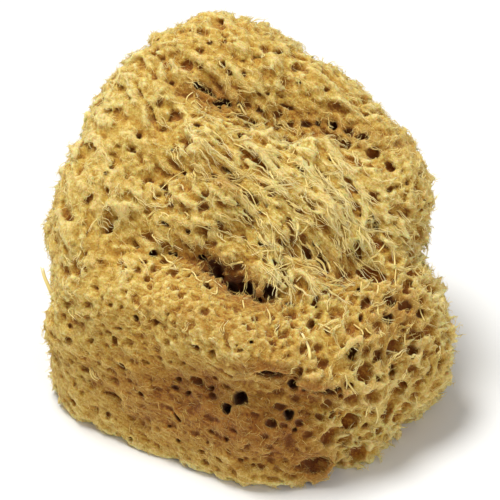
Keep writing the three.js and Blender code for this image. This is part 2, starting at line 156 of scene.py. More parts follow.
# Pits of the photograph: pixel, half width, half height and depth in millimetres, and turn.
Pit = namedtuple("Pit", "x y wide tall deep turn", defaults=(0,))
PITS = [Pit(*row) for row in (
    (213, 267, 2.1, 1.9, 11), (203, 257, 1.7, 1.3, 7), (228, 278, 9.5, 2.4, 10, -33),
    (213, 266, 3.2, 2.4, 11, -40), (242, 287, 3.8, 2.8, 13, -20), (262, 299, 4.5, 1.8, 7, -15),
    (239, 287, 4.0, 2.7, 14, -30), (250, 293, 2.2, 1.8, 10, -30), (272, 292, 2.8, 2.7, 9),
    (300, 294, 1.1, 1.1, 4), (289, 304, 1.5, 1.3, 4), (288, 321, 1.2, 1.1, 4), (256, 319, 1.7, 1.5, 3.5),
    (276, 327, 1.4, 1.1, 2.5), (251, 341, 1.0, 1.0, 7), (314, 325, 1.9, 1.9, 6), (328, 333, 1.4, 1.3, 4),
    (315, 302, 1.7, 2.3, 4), (338, 313, 3.4, 2.3, 3.5), (360, 293, 1.1, 1.8, 7), (361, 318, 1.2, 1.2, 6),
    (391, 300, 2.6, 2.0, 5), (405, 308, 2.3, 2.3, 4), (387, 318, 2.0, 2.2, 7), (352, 353, 2.2, 2.4, 7),
    (341, 350, 1.5, 1.4, 5), (347, 341, 2.1, 1.8, 3), (370, 352, 2.4, 2.5, 3.5),
    (393, 371, 2.1, 3.2, 10, -10), (416, 336, 2.8, 2.4, 4), (411, 352, 2.4, 2.4, 4),
    (428, 354, 1.9, 2.4, 5), (413, 371, 2.1, 2.2, 3.5), (440, 361, 1.8, 2.0, 3.5),
    (422, 312, 1.6, 1.6, 4), (298, 373, 1.5, 1.2, 6), (268, 370, 6.0, 1.5, 7, -8),
    (294, 386, 2.0, 1.6, 7), (322, 391, 6.0, 1.4, 7, -6), (338, 391, 1.3, 1.2, 5),
    (326, 403, 2.1, 1.9, 3.5), (341, 398, 1.1, 1.1, 4), (239, 398, 2.7, 2.2, 10, 25),
    (226, 409, 1.9, 1.7, 8), (289, 415, 1.6, 1.5, 8), (280, 407, 1.9, 1.2, 4), (295, 432, 1.3, 1.0, 6),
    (271, 424, 1.8, 1.5, 4), (290, 444, 1.9, 1.6, 4), (271, 459, 1.4, 1.4, 4), (253, 461, 0.9, 0.8, 3),
    (245, 459, 0.9, 0.8, 3), (252, 467, 1.0, 0.7, 3), (318, 469, 5.6, 3.4, 7), (379, 433, 1.8, 2.5, 4),
    (365, 425, 1.4, 1.4, 3), (373, 410, 1.3, 2.4, 5, 20), (346, 449, 1.6, 1.5, 4),
    (308, 255, 1.9, 3.4, 5, 20), (342, 278, 1.7, 3.0, 4.5, -15), (297, 239, 3.2, 1.7, 4, -25),
    (317, 243, 1.6, 1.2, 5, -25), (249, 217, 3.3, 2.1, 4, -33), (267, 221, 1.5, 1.1, 5, -33),
    (233, 188, 1.5, 1.4, 4, -40), (216, 177, 2.4, 1.0, 4, -35), (202, 208, 1.6, 1.4, 6),
    (156, 198, 1.7, 1.1, 3), (167, 195, 1.0, 0.9, 5), (180, 204, 1.4, 1.3, 3),
    (165, 222, 1.9, 1.3, 4, -45), (188, 234, 1.3, 1.4, 5), (178, 222, 0.8, 0.8, 4),
    (215, 239, 0.7, 0.6, 3), (153, 252, 1.8, 1.4, 7), (173, 254, 1.4, 1.1, 7, -20),
    (144, 262, 0.9, 0.8, 3), (209, 287, 1.9, 1.3, 5, -20), (190, 276, 1.2, 1.1, 4),
    (198, 276, 1.4, 1.0, 4), (175, 288, 2.0, 1.3, 2.5), (213, 305, 0.7, 0.6, 3), (136, 318, 1.1, 1.1, 6),
    (155, 322, 1.0, 1.1, 5), (195, 347, 1.4, 1.3, 3.5), (211, 353, 1.6, 1.4, 3.5, 20),
    (158, 358, 1.4, 0.9, 2.5), (144, 363, 1.5, 0.7, 3, -20), (119, 367, 2.4, 1.1, 4, -22),
    (175, 388, 1.3, 0.8, 4, -20), (179, 379, 0.9, 0.7, 3), (198, 381, 2.2, 1.5, 3.5, -15),
    (211, 388, 1.1, 0.7, 5), (214, 378, 1.4, 0.8, 3), (112, 396, 4.4, 0.8, 4.5, -5),
    (142, 394, 1.5, 0.8, 3, -25), (177, 417, 0.8, 2.0, 4, 35), (169, 427, 0.9, 0.7, 3),
    (179, 440, 1.2, 0.8, 4, -40), (210, 432, 1.0, 0.8, 4), (226, 440, 0.9, 0.8, 4),
    (218, 458, 1.5, 0.8, 4, -20), (202, 451, 1.2, 0.6, 3), (240, 461, 0.9, 0.8, 4),
    (131, 438, 1.1, 0.8, 2.5), (141, 135, 1.2, 1.0, 6), (162, 131, 1.5, 1.3, 3.5),
    (166, 138, 0.6, 0.5, 3), (175, 139, 0.7, 0.6, 3), (165, 148, 3.0, 1.0, 3.5, -12),
    (118, 146, 0.8, 0.8, 3), (198, 125, 2.2, 0.9, 4, -20), (198, 86, 1.9, 1.5, 8, -25),
    (206, 89, 4.4, 1.5, 7, -25), (224, 104, 3.8, 1.7, 7, -5), (211, 92, 2.0, 1.0, 6, -25),
    (223, 104, 3.0, 1.3, 7, -20), (239, 102, 1.3, 1.0, 4), (166, 64, 2.0, 1.5, 4), (171, 84, 1.3, 1.0, 3),
    (177, 34, 2.2, 1.2, 2.5, -20), (199, 49, 1.6, 1.0, 3), (234, 53, 1.7, 1.2, 3),
    (260, 110, 1.4, 0.9, 4), (288, 107, 2.4, 0.8, 6, -15), (306, 124, 1.7, 1.7, 5),
    (320, 124, 1.6, 1.6, 6), (334, 125, 1.6, 1.6, 8), (327, 133, 0.8, 0.8, 7), (349, 131, 2.2, 1.6, 5),
    (362, 138, 2.2, 1.8, 5), (374, 153, 2.4, 1.9, 4.5), (392, 167, 2.2, 1.9, 4.5),
    (393, 210, 2.3, 1.7, 4), (408, 212, 2.1, 1.7, 4), (378, 225, 1.5, 1.3, 9), (389, 188, 1.7, 1.4, 4),
    (409, 181, 1.7, 1.4, 4), (269, 94, 1.3, 0.9, 4), (298, 83, 1.2, 0.9, 4), (326, 89, 1.3, 0.9, 3.5),
)]

# Low crests of the photograph: half the width in millimetres, then x and y of each pixel passed through.
Crest = namedtuple("Crest", "wide row")
CRESTS = [Crest(wide, list(zip(row[::2], row[1::2]))) for wide, *row in (
    (0.9, 195, 55, 210, 66, 224, 81, 232, 94, 234, 101), (0.8, 231, 65, 237, 72, 243, 83, 248, 92),
    (0.9, 171, 61, 176, 71, 182, 78, 190, 87), (0.7, 161, 64, 162, 75, 161, 83),
    (0.8, 157, 94, 169, 99, 185, 104, 200, 104, 214, 116),
    (1.2, 190, 150, 206, 148, 222, 160, 240, 174, 262, 196),
    (1.0, 224, 188, 243, 202, 262, 222, 272, 236), (0.9, 262, 158, 282, 176, 300, 190, 322, 200),
    (0.9, 300, 160, 318, 186, 330, 206, 336, 232),
    (0.9, 330, 153, 346, 168, 362, 190, 366, 212, 362, 228), (0.8, 372, 173, 382, 191, 387, 221),
    (1.0, 282, 260, 300, 262, 316, 266), (1.0, 252, 256, 262, 252, 280, 250, 268, 240),
    (0.9, 312, 284, 322, 282, 334, 290), (0.9, 372, 299, 383, 290, 396, 288),
    (0.8, 340, 355, 350, 344, 360, 338), (0.9, 345, 374, 366, 390, 386, 381),
    (0.8, 298, 383, 320, 386, 338, 382),
)]

# Strands of the photograph: the width in millimetres, then x and y of each pixel passed through, root
# first. A strand that stands off the body says how far it lies behind the heart's plane.
Lock = namedtuple("Lock", "wide row away", defaults=(None,))
LOCKS = [Lock(wide, list(zip(row[::2], row[1::2]))) for wide, *row in (
    (0.35, 184, 171, 172, 178, 164, 186, 160, 190),
    (0.4, 237, 207, 225, 202, 216, 200, 204, 201, 197, 206),
    (0.6, 269, 170, 273, 178, 278, 184, 288, 191), (0.6, 253, 183, 260, 187, 268, 192, 273, 196),
    (0.45, 265, 192, 267, 199, 270, 206, 274, 212, 277, 217),
    (0.5, 235, 182, 242, 187, 250, 193, 254, 201, 258, 209, 265, 214, 272, 219),
    (0.4, 238, 187, 243, 195, 248, 203, 255, 212, 262, 221, 269, 230),
    (0.4, 221, 185, 229, 191, 238, 197, 243, 203, 248, 207),
    (0.35, 231, 210, 236, 216, 241, 222, 246, 227),
    (0.35, 207, 219, 212, 226, 219, 230, 227, 233, 232, 236),
    (0.35, 180, 223, 186, 226, 195, 225, 204, 227, 211, 230, 221, 231),
    (0.35, 184, 211, 188, 216, 182, 221, 180, 223),
    (0.4, 170, 227, 168, 235, 170, 242, 177, 247, 183, 250),
    (0.4, 177, 231, 182, 234, 185, 240, 191, 246, 194, 248),
    (0.4, 150, 206, 156, 206, 162, 207, 167, 206), (0.35, 148, 217, 155, 211, 161, 209),
    (0.35, 160, 212, 166, 214, 173, 221), (0.4, 288, 200, 295, 207, 300, 209),
    (0.35, 287, 212, 294, 215, 300, 220), (0.4, 232, 143, 242, 147, 250, 152, 256, 158),
    (0.35, 248, 136, 251, 146, 255, 155), (0.4, 300, 161, 292, 162, 287, 162, 293, 153, 296, 144),
    (0.35, 268, 142, 269, 137, 266, 134, 260, 141), (0.4, 282, 231, 288, 234, 294, 236, 298, 240),
    (0.4, 278, 229, 283, 235, 288, 241), (0.4, 258, 231, 260, 239, 267, 245, 273, 249),
    (0.45, 304, 166, 305, 177, 307, 185, 306, 195, 307, 200, 311, 203),
    (0.35, 298, 160, 306, 161, 308, 167), (0.55, 311, 178, 319, 186, 325, 193),
    (0.45, 330, 189, 336, 192, 343, 198, 348, 201, 354, 207, 356, 210),
    (0.45, 315, 198, 319, 207, 326, 210), (0.4, 301, 195, 303, 202, 301, 208),
    (0.4, 286, 200, 295, 205, 300, 210), (0.4, 294, 208, 295, 212, 301, 215, 310, 218),
    (0.6, 287, 212, 295, 217, 305, 222), (0.45, 306, 210, 313, 213, 316, 219, 317, 226, 322, 231),
    (0.5, 311, 216, 307, 226, 301, 233, 298, 235),
    (0.5, 339, 217, 345, 220, 351, 224, 346, 232, 345, 235),
    (0.65, 341, 230, 337, 237, 339, 244, 335, 253),
    (0.55, 355, 229, 362, 235, 361, 242, 356, 250, 347, 255),
    (0.8, 305, 242, 311, 249, 315, 257, 323, 263, 326, 272, 328, 278),
    (0.6, 322, 257, 327, 262, 330, 270, 333, 276), (0.3, 318, 239, 315, 248),
    (0.65, 314, 265, 300, 263, 291, 260, 282, 260), (0.4, 308, 269, 302, 275, 297, 280),
    (0.45, 280, 237, 286, 245, 294, 250), (0.45, 362, 236, 370, 240, 375, 245, 374, 252, 376, 256),
    (0.7, 377, 255, 369, 260, 367, 267), (0.45, 385, 238, 384, 245, 378, 252, 376, 255),
    (0.6, 385, 237, 391, 244, 394, 252, 395, 262, 396, 268, 403, 271),
    (0.4, 351, 179, 357, 189, 365, 193, 367, 201, 367, 211, 364, 221, 362, 228),
    (0.4, 372, 174, 378, 184, 381, 191, 384, 198, 386, 211, 387, 221),
    (0.35, 362, 163, 365, 171, 370, 176), (0.35, 354, 150, 357, 158, 356, 168),
    (0.6, 328, 152, 334, 163, 341, 171), (0.5, 337, 161, 345, 168, 354, 176),
    (0.6, 388, 220, 393, 219, 398, 217), (0.45, 372, 221, 371, 231),
    (0.45, 380, 230, 391, 231, 400, 233, 408, 235, 416, 234),
    (0.4, 398, 231, 402, 226, 406, 230, 409, 232),
    (0.35, 394, 182, 401, 183, 402, 191, 409, 195, 413, 200, 413, 205),
    (0.4, 418, 267, 423, 273, 428, 276), (0.4, 343, 226, 345, 233, 346, 242, 345, 252),
    (0.45, 345, 201, 349, 209, 350, 217, 351, 220), (0.4, 344, 265, 343, 271, 347, 275),
    (0.7, 243, 262, 237, 263, 231, 264, 226, 266), (0.6, 279, 250, 266, 251, 259, 252, 252, 255),
    (0.5, 259, 233, 263, 240, 269, 244, 277, 249), (0.4, 255, 233, 259, 238, 261, 242, 265, 244),
    (0.5, 276, 276, 280, 280, 283, 284, 286, 278, 290, 274, 293, 282),
    (0.4, 312, 267, 308, 270, 302, 276, 296, 282),
    (0.6, 180, 269, 189, 270, 194, 273, 198, 280, 207, 282, 213, 280, 222, 287),
    (0.5, 214, 282, 217, 288, 216, 294, 211, 293), (0.5, 244, 308, 243, 299, 248, 298),
    (0.4, 270, 325, 270, 315, 267, 309), (0.7, 313, 286, 317, 294), (0.7, 312, 284, 320, 283, 330, 287),
    (0.6, 330, 329, 325, 326, 318, 324), (1.1, 310, 358, 309, 349, 306, 341, 302, 333),
    (0.45, 180, 234, 186, 239, 192, 245, 199, 244, 208, 248), (0.35, 102, 202, 107, 208, 113, 216),
    (0.35, 65, 225, 72, 223, 80, 222), (0.35, 97, 219, 92, 224, 88, 232),
    (0.5, 130, 252, 137, 256, 141, 259, 146, 266, 149, 276),
    (0.55, 160, 254, 165, 257, 168, 261, 173, 263, 176, 268), (0.45, 161, 267, 168, 267, 179, 269),
    (0.45, 124, 268, 129, 271, 135, 270), (0.4, 126, 269, 125, 276),
    (0.6, 378, 305, 378, 313, 382, 318, 388, 320, 395, 320),
    (0.45, 371, 275, 377, 281, 378, 291, 373, 299, 371, 305), (0.7, 362, 277, 361, 288, 361, 293),
    (0.5, 354, 325, 360, 329, 363, 334, 359, 342, 361, 348, 359, 356, 355, 363),
    (0.5, 366, 330, 372, 334, 379, 336, 383, 334, 378, 332),
    (0.5, 360, 338, 352, 344, 346, 349, 341, 355), (0.4, 364, 361, 362, 365, 356, 367),
    (0.4, 331, 367, 331, 379), (0.6, 345, 374, 347, 384, 344, 398), (0.6, 348, 383, 352, 389, 356, 394),
    (0.55, 386, 381, 376, 387, 367, 389, 360, 394), (0.45, 397, 367, 390, 371, 388, 379),
    (0.45, 400, 354, 393, 352, 386, 350), (0.5, 372, 403, 367, 410, 366, 416, 360, 422),
    (0.7, 376, 407, 378, 416, 376, 424), (0.45, 385, 429, 390, 436), (0.4, 412, 268, 420, 276, 427, 280),
    (0.4, 396, 269, 395, 280, 396, 288, 387, 294), (0.4, 420, 311, 426, 322, 437, 327),
    (0.4, 405, 332, 405, 341, 406, 349), (0.45, 335, 328, 332, 333, 320, 327), (0.4, 208, 41, 210, 35),
    (0.4, 156, 93, 161, 96, 169, 100, 177, 103, 185, 104), (0.4, 186, 101, 188, 96, 195, 92, 198, 98),
    (0.4, 191, 104, 194, 101, 199, 104, 203, 108), (0.55, 237, 109, 239, 104, 243, 111, 246, 115),
)]
# The strip that stands off the left edge
LOCKS.append(Lock(1.7, [(57, 301), (52, 294), (48, 285), (45, 277), (43, 268)], -6))

PIT_EDGE = 0.3  # how softly a pit's rim is rounded
PIT_WARP = 0.7  # how far noise pushes a pit's wall
WARP_SHARE = 0.45  # and at most this part of the pit's smaller half size
WARP_WAVE = 2.4
PIT_MARGIN = 2.0  # how far round a pit voxels are looked at
SIGHT_SHARE = 0.6  # how much a photographed pit's axis leans to the line of sight
DARK = 7.0  # a photographed pit that is shallower than this is cut less deep
SHALLOW = 0.6  # by this share
LOW = 14.0  # pits lower than this run level, so that they stay clear of the base
MOUTH_RIM = 1.5  # how far round its middle a pit's rim is looked for, as a part of its half width
MOUTH_LOOKS = 10
SEEDS = 50000  # places where a scattered pit or a tuft may stand
# A scattered pit's size, width and depth vary between these parts of its kind's, and it stays clear of
# photographed pits by a part of its half width and by a gap.
PIT_SIZES = (0.5, 1.6)
PIT_WIDTHS = (0.8, 1.15)
PIT_DEPTHS = (0.7, 1.9)
PIT_CLEAR = 0.9
PIT_GAP = 0.3
PIT_TILT = 0.35
TUFT_EDGE = 1.1
TUFT_ROOT = 1.2  # how deep in the body a tuft begins
TUFT_TIP = 0.26
TUFT_TAPER = 0.6
TUFT_TILT = 0.35
TUFT_DROP = 2.0  # tufts go down with the crest that they stand on, by this at most
TUFT_LEAST = 0.6  # where tufts are meant to be lower than this, there are none
TUFT_LOWEST = 2.0
TUFT_GAPS = (0.7, 1.4)  # from tuft to tuft, against their kind's, and so on
TUFT_HEIGHTS = (0.4, 1.5)
TUFT_FEET = (0.7, 1.2)
CREST = 0.4  # tufts stand where the pits take less than this part of their depth off the body
# What the body's colour goes by, painted shade in enclosed and deep places and painted light on open
# crests: how far is looked for solid fibre, how an open place is told by it, and from which depth and
# over how much more the body darkens
SOLID_NEAR = 1.2
SOLID_FAR = 3.0
OPEN = 1.5
OPEN_NEAR = 1.6
OPEN_FAR = 0.5
DEEP_SHADE_FROM = 1.2
DEEP_SHADE_OVER = 7.0
KNOBBY_COMBING = 0.5  # how strongly knobby zones are combed, against the combed ones


def unit(v):
    """v with a length of 1."""
    return v / np.maximum(np.linalg.norm(v, axis=-1, keepdims=True), 1e-9)


def pixel_ray(x, y):
    """The direction from the eye through a pixel."""
    on_plane = HEART + RIGHT * (x - PHOTO_MIDDLE[0]) * MM_PER_PX + UP * (PHOTO_MIDDLE[1] - y) * MM_PER_PX
    return unit(on_plane - EYE)


def pixels_of(points):
    """The pixels where points show."""
    ray = points - EYE
    scale = EYE_DISTANCE / (ray @ AWAY) / MM_PER_PX
    return np.stack([PHOTO_MIDDLE[0] + (ray @ RIGHT) * scale, PHOTO_MIDDLE[1] - (ray @ UP) * scale], -1)


def picture_direction(degrees):
    """A direction in the picture, anticlockwise from its right."""
    a = np.radians(degrees)
    return np.multiply.outer(np.cos(a), RIGHT) + np.multiply.outer(np.sin(a), UP)


# The field of distances


def part_mesh(node):
    """The part's corners in millimetres, each once, and its triangles."""
    mesh = node.data
    mesh.calc_loop_triangles()
    corners = np.empty(len(mesh.vertices) * 3, np.float32)
    mesh.vertices.foreach_get("co", corners)
    triangles = np.empty(len(mesh.loop_triangles) * 3, np.int32)
    mesh.loop_triangles.foreach_get("vertices", triangles)
    points, place = np.unique(np.round(corners.reshape(-1, 3) * 1000, 3), axis=0, return_inverse=True)
    return points, place.reshape(-1)[triangles.reshape(-1, 3)]


def blended(values, whole, rest):
    """The values at places, each its whole and its rest, from the eight nearest. Past the end they repeat."""
    found = 0
    for corner in np.ndindex(2, 2, 2):
        weight = 1
        for k, far in enumerate(corner):
            weight = weight * (rest[:, k] if far else 1 - rest[:, k])
        x, y, z = ((whole + corner) % values.shape).T
        found = found + weight * values[x, y, z]
    return found


class Grid:
    """Where the field's voxels lie."""

    def __init__(self, low, high):
        self.low = np.floor(low / VOXEL).astype(int) - PAD
        self.shape = tuple(np.ceil(high / VOXEL).astype(int) + PAD - self.low)
        self.transform = vdb.createLinearTransform(voxelSize=VOXEL)

    def axis(self, k):
        """The voxels' coordinates along an axis."""
        return (np.arange(self.shape[k], dtype=np.float32) + self.low[k]) * VOXEL

    def block(self, low, high):
        """Slices of the voxels within a box, and their coordinates along each axis."""
        first = np.clip(np.floor(low / VOXEL).astype(int) - self.low, 0, self.shape)
        last = np.clip(np.ceil(high / VOXEL).astype(int) + 1 - self.low, 0, self.shape)
        slices = tuple(slice(a, b) for a, b in zip(first, last))
        axes = [(np.arange(a, b, dtype=np.float32) + l) * VOXEL for a, b, l in zip(first, last, self.low)]
        return slices, axes

    def sample(self, values, points):
        """The field's value at points, from the eight nearest voxels."""
        q = points / VOXEL - self.low
        i = np.clip(np.floor(q).astype(int), 0, np.array(self.shape) - 2)
        return blended(values, i, np.clip(q - i, 0, 1))

    def slope(self, values, points):
        """The field's direction of growth at points, which leads out of the body."""
        steps = np.eye(3) * VOXEL
        around = [self.sample(values, points + step) - self.sample(values, points - step) for step in steps]
        return unit(np.stack(around, -1))


def level_set(grid, points, triangles):
    """Distances from the closed mesh, less than 0 inside."""
    made = vdb.FloatGrid.createLevelSetFromPolygons(
        points.astype(np.float32),
        triangles=triangles.astype(np.uint32),
        transform=grid.transform,
        halfWidth=BAND / VOXEL,
    )
    values = np.empty(grid.shape, np.float32)
    made.copyToArray(values, ijk=tuple(int(x) for x in grid.low))
    return values


def blurred(values, size):
    """values, blurred by three passes of a box, so that a point spreads over about size millimetres."""
    reach = max(1, round((math.sqrt(4 * (size / VOXEL) ** 2 + 1) - 1) / 2))
    width = 2 * reach + 1
    for axis in range(3):
        n = values.shape[axis]
        edges = [(reach + 1, reach) if k == axis else (0, 0) for k in range(3)]
        for _ in range(3):
            total = np.cumsum(np.pad(values, edges, "edge"), axis=axis, dtype=np.float64)
            high = np.take(total, range(width, width + n), axis)
            values = ((high - np.take(total, range(n), axis)) / width).astype(np.float32)
    return values


def noise_field(grid, wave, rng):
    """Smooth random values from about -1 to 1 that change over wave millimetres."""
    field = rng.uniform(-1, 1, [int(n * VOXEL / wave) + 3 for n in grid.shape]).astype(np.float32)
    for axis, n in enumerate(grid.shape):
        t = np.arange(n) * VOXEL / wave
        i = t.astype(int)
        f = (t - i).astype(np.float32)
        f = (f * f * (3 - 2 * f)).reshape([-1 if k == axis else 1 for k in range(3)])
        first = np.take(field, i, axis)
        field = first + (np.take(field, i + 1, axis) - first) * f
    return field


def noise_at(places, rng, size=64):
    """Smooth random values from about -1 to 1 at places, which are counted in waves."""
    table = rng.uniform(-1, 1, (size, size, size)).astype(np.float32)
    i = np.floor(places).astype(int)
    f = (places - i).astype(np.float32)
    return blended(table, i, f * f * (3 - 2 * f))


def mesh_of(grid, values):
    """The surface where the field is 0, as points and quads."""
    made = vdb.FloatGrid(BAND)
    made.transform = grid.transform
    made.copyFromArray(values, ijk=tuple(int(x) for x in grid.low), tolerance=0.0)
    return made.convertToQuads(isovalue=0.0)


def in_one_piece(points, quads):
    """The points and quads of the largest part alone, without loose crumbs and closed bubbles."""
    part = np.arange(len(points))
    settled = False
    while not settled:
        before = part.copy()
        lowest = part[quads].min(1)
        for corner in quads.T:
            np.minimum.at(part, part[corner], lowest)
            np.minimum.at(part, corner, lowest)
        part = part[part]
        settled = np.array_equal(part, before)
    kept = part == np.bincount(part).argmax()
    renumbered = np.cumsum(kept) - 1
    return points[kept], renumbered[quads[kept[quads[:, 0]]]]


def smooth_max(a, b, edge):
    """The greater of two fields, rounded where they are within edge of each other."""
    h = np.maximum(edge - np.abs(a - b), 0) / edge
    return np.maximum(a, b) + h * h * edge / 4


# Pits and tufts


def offsets(axes, start):
    """How far voxels lie from a start along each axis, given their coordinates on the axes."""
    return [c.reshape([-1 if k == i else 1 for k in range(3)]) - start[i] for i, c in enumerate(axes)]


def cut_pit(grid, body, warp, at, across, rise, inward, sizes):
    """Cuts a warped ellipsoid out of the body: sizes are its half width, half height and depth."""
    directions = np.stack([across, rise, inward])
    reach = np.sqrt(((directions * np.array(sizes)[:, None]) ** 2).sum(0)) + PIT_MARGIN
    slices, axes = grid.block(at - reach, at + reach)
    strength = min(PIT_WARP, WARP_SHARE * min(sizes[:2]))
    place = [off + push[slices] * strength for off, push in zip(offsets(axes, at), warp)]
    near = far = 0
    for direction, size in zip(directions, sizes):
        along = sum(p * d for p, d in zip(place, direction))
        near = near + (along / size) ** 2
        far = far + (along / size**2) ** 2
    k = np.sqrt(near)
    distance = k * (k - 1) / np.maximum(np.sqrt(far), 1e-6)
    body[slices] = smooth_max(body[slices], -distance, PIT_EDGE)


def add_spike(grid, body, start, end, foot, tip):
    """Joins a round spike to the body that narrows from its foot to its tip."""
    length = max(np.linalg.norm(end - start), 1e-6)
    course = (end - start) / length
    margin = foot + TUFT_EDGE
    slices, axes = grid.block(np.minimum(start, end) - margin, np.maximum(start, end) + margin)
    place = offsets(axes, start)
    along = np.clip(sum(p * d for p, d in zip(place, course)), 0, length)
    off = [p - along * d for p, d in zip(place, course)]
    width = foot + (tip - foot) * (along / length) ** TUFT_TAPER
    distance = np.sqrt(sum(o * o for o in off)) - width
    body[slices] = -smooth_max(-body[slices], -distance, TUFT_EDGE)


def raise_tuft(grid, body, at, course, height, foot):
    """Raises a pointed tuft that is rooted in the body."""
    add_spike(grid, body, at - course * TUFT_ROOT, at + course * height, foot, TUFT_TIP)


def raise_crests(grid, body, surface):
    """Raises the photograph's crests along their rows of pixels."""
    for crest in CRESTS:
        row = [first_hit(surface, x, y) for x, y in crest.row]
        row = [point for point in row if point is not None]
        for start, end in zip(row, row[1:]):
            add_spike(grid, body, start, end, crest.wide, crest.wide)


def in_ellipse(pixels, form, power):
    """From 1 in the middle of an ellipse of pixels to 0 outside it."""
    a = math.radians(form.turn)
    dx = pixels[:, 0] - form.x
    dy = form.y - pixels[:, 1]
    u = (dx * math.cos(a) + dy * math.sin(a)) / form.across
    v = (dy * math.cos(a) - dx * math.sin(a)) / form.up
    return np.exp(-((u * u + v * v) ** power))


def facing_eye(normals):
    """1 where the surface faces the photograph's eye, and 0 where it is turned away."""
    return np.clip(-(normals @ AWAY) * TURN_EDGE + TURN_START, 0, 1)


def zone_shares(points, normals):
    """For each point, how much of each zone it takes, and last of the hidden sides."""
    pixels = pixels_of(points)
    facing = facing_eye(normals)
    shares = [facing * in_ellipse(pixels, zone, ZONE_EDGE) for zone in ZONES]
    hidden = HIDDEN_SHARE + (1 - facing)
    total = sum(shares) + hidden
    return np.stack([s / total for s in shares] + [hidden / total], -1)


def kind_share(shares, *kinds):
    """How much of a point is of any of the kinds."""
    return shares[:, :-1] @ np.array([float(z.kind in kinds) for z in ZONES])


def stain_and_shade_at(points, normals):
    """How brown points are, by stains and by painted shade, or how pale where less than 0."""
    pixels = pixels_of(points)
    return facing_eye(normals) * sum(in_ellipse(pixels, s, STAIN_AND_SHADE_EDGE) * s.amount for s in STAINS_AND_SHADE)


def traits(shares):
    """Each point's kind of surface, blended over the zones."""
    table = np.array([KINDS[z.kind] for z in ZONES] + [KINDS["hidden"]])
    return Kind(*(shares @ table).T)


def flow_at(normals, shares):
    """The direction in which fibres lie at points, along the surface."""
    flow = shares[:, :-1] @ picture_direction(np.array([z.flow for z in ZONES]))
    downward = np.cross(normals, np.cross(normals, SAG))
    flow = flow + downward * shares[:, -1:] * SAG_SHARE
    flow = flow - normals * (flow * normals).sum(-1, keepdims=True)
    return unit(flow)


def spread_out(points, apart, rng):
    """Places among points that are at least apart from each other, in random order."""
    tree = KDTree(len(points))
    for i, p in enumerate(points):
        tree.insert(p, i)
    tree.balance()
    free = np.ones(len(points), bool)
    kept = []
    for i in rng.permutation(len(points)):
        if free[i]:
            kept.append(i)
            near = [found[1] for found in tree.find_range(points[i], apart[i])]
            free[near] = False
    return np.array(kept)


def first_hit(surface, x, y):
    """The first point of a surface that a pixel's ray meets, or None."""
    at = surface.ray_cast(Vector(EYE), Vector(pixel_ray(x, y)))[0]
    return None if at is None else np.array(at)


def mouth_of(surface, pit):
    """The middle of a pit's mouth: on its pixel's ray, as far off as the body round it."""
    reach = pit.wide / MM_PER_PX * MOUTH_RIM
    around = [2 * math.pi * k / MOUTH_LOOKS for k in range(MOUTH_LOOKS)]
    hits = [first_hit(surface, pit.x + reach * math.cos(a), pit.y + reach * math.sin(a)) for a in around]
    depths = [np.linalg.norm(hit - EYE) for hit in hits if hit is not None]
    return EYE + pixel_ray(pit.x, pit.y) * np.median(depths) if depths else None


def photographed_pits(grid, envelope, surface):
    """Middle, directions and sizes of the photograph's pits, on the body's surface."""
    made = []
    for pit in PITS:
        at = mouth_of(surface, pit)
        if at is None:
            continue
        normal = grid.slope(envelope, at[None])[0]
        inward = unit(AWAY * SIGHT_SHARE - normal * (1 - SIGHT_SHARE))
        if at[2] < LOW:
            inward = unit(inward * np.array((1, 1, 0)))
        across = picture_direction(pit.turn)
        across = unit(across - inward * (across @ inward))
        deep = pit.deep if pit.deep >= DARK else pit.deep * SHALLOW
        made.append((at, across, np.cross(inward, across), inward, (pit.wide, pit.tall, deep)))
    return made


def cut_notches(grid, envelope, warp):
    """Cuts the photographed outline's notches where each pixel's ray runs deepest in the body."""
    along = EYE_DISTANCE + np.arange(-NOTCH_SEARCH, NOTCH_SEARCH, VOXEL)
    for notch in NOTCHES:
        sight = pixel_ray(notch.x, notch.y)
        places = EYE + along[:, None] * sight
        at = places[np.argmin(grid.sample(envelope, places))]
        across = unit(np.cross(sight, UP))
        sizes = (notch.wide, notch.wide, NOTCH_LONG)
        cut_pit(grid, envelope, warp, at, across, np.cross(sight, across), sight, sizes)


def scattered_pits(points, normals, shares, taken, rng):
    """Pits between the photographed ones and on all other sides."""
    kind = traits(shares)
    flow = flow_at(normals, shares)
    scale = rng.uniform(*PIT_SIZES, len(points))
    middles = np.array([t[0] for t in taken])
    reach = np.array([max(t[4][:2]) for t in taken])
    gap = np.linalg.norm(points[:, None] - middles[None], axis=-1) - reach[None]
    index = np.flatnonzero(gap.min(1) > kind.wide * scale * PIT_CLEAR + PIT_GAP)
    kept = index[spread_out(points[index], (kind.apart * scale)[index], rng)]
    made = []
    for i in kept:
        wide = kind.wide[i] * scale[i] * rng.uniform(*PIT_WIDTHS)
        inward = unit(-normals[i] + PIT_TILT * rng.normal(size=3))
        across = unit(flow[i] - inward * (flow[i] @ inward))
        sizes = (wide * kind.long[i], wide, wide * kind.deep[i] * rng.uniform(*PIT_DEPTHS))
        made.append((points[i], across, np.cross(inward, across), inward, sizes))
    return made


# Fibres

# One kind of fibre: its width, the steps along it, how far it wanders and waves, how far off the
# surface it is held and how firmly, how far its end rises, how its course mixes the flow, chance and
# the way out of the body, and how its length, width and tone vary.
Growth = namedtuple("Growth", "wide steps wander wave lift hold rise course lengths widths tones")
FELT = Growth(0.2, 3, 0.3, 0.5, 0.08, 0.5, 0.15, (0.8, 0.5, 0.2), (0.5, 1.5), (0.6, 1.4), 0.15)
STRAND = Growth(0.34, 8, 0.07, 0.5, 0.2, 0.3, 0.5, (1.0, 0.2, 0.15), (0.5, 1.5), (0.6, 1.4), 0.12)
FRAY = Growth(0.2, 5, 0.32, 0.5, 0.2, 0.4, 0.4, (0.7, 0.5, 0.5), (0.5, 1.6), (0.6, 1.3), 0.12)
BEND_KEPT = 0.6  # of a fibre's bend, from one step to the next
BEND_ADDED = 0.8
SWAY_WAVE = 3.2
SKIN = 0.05  # a fibre that runs nearer the surface than this is pushed off it
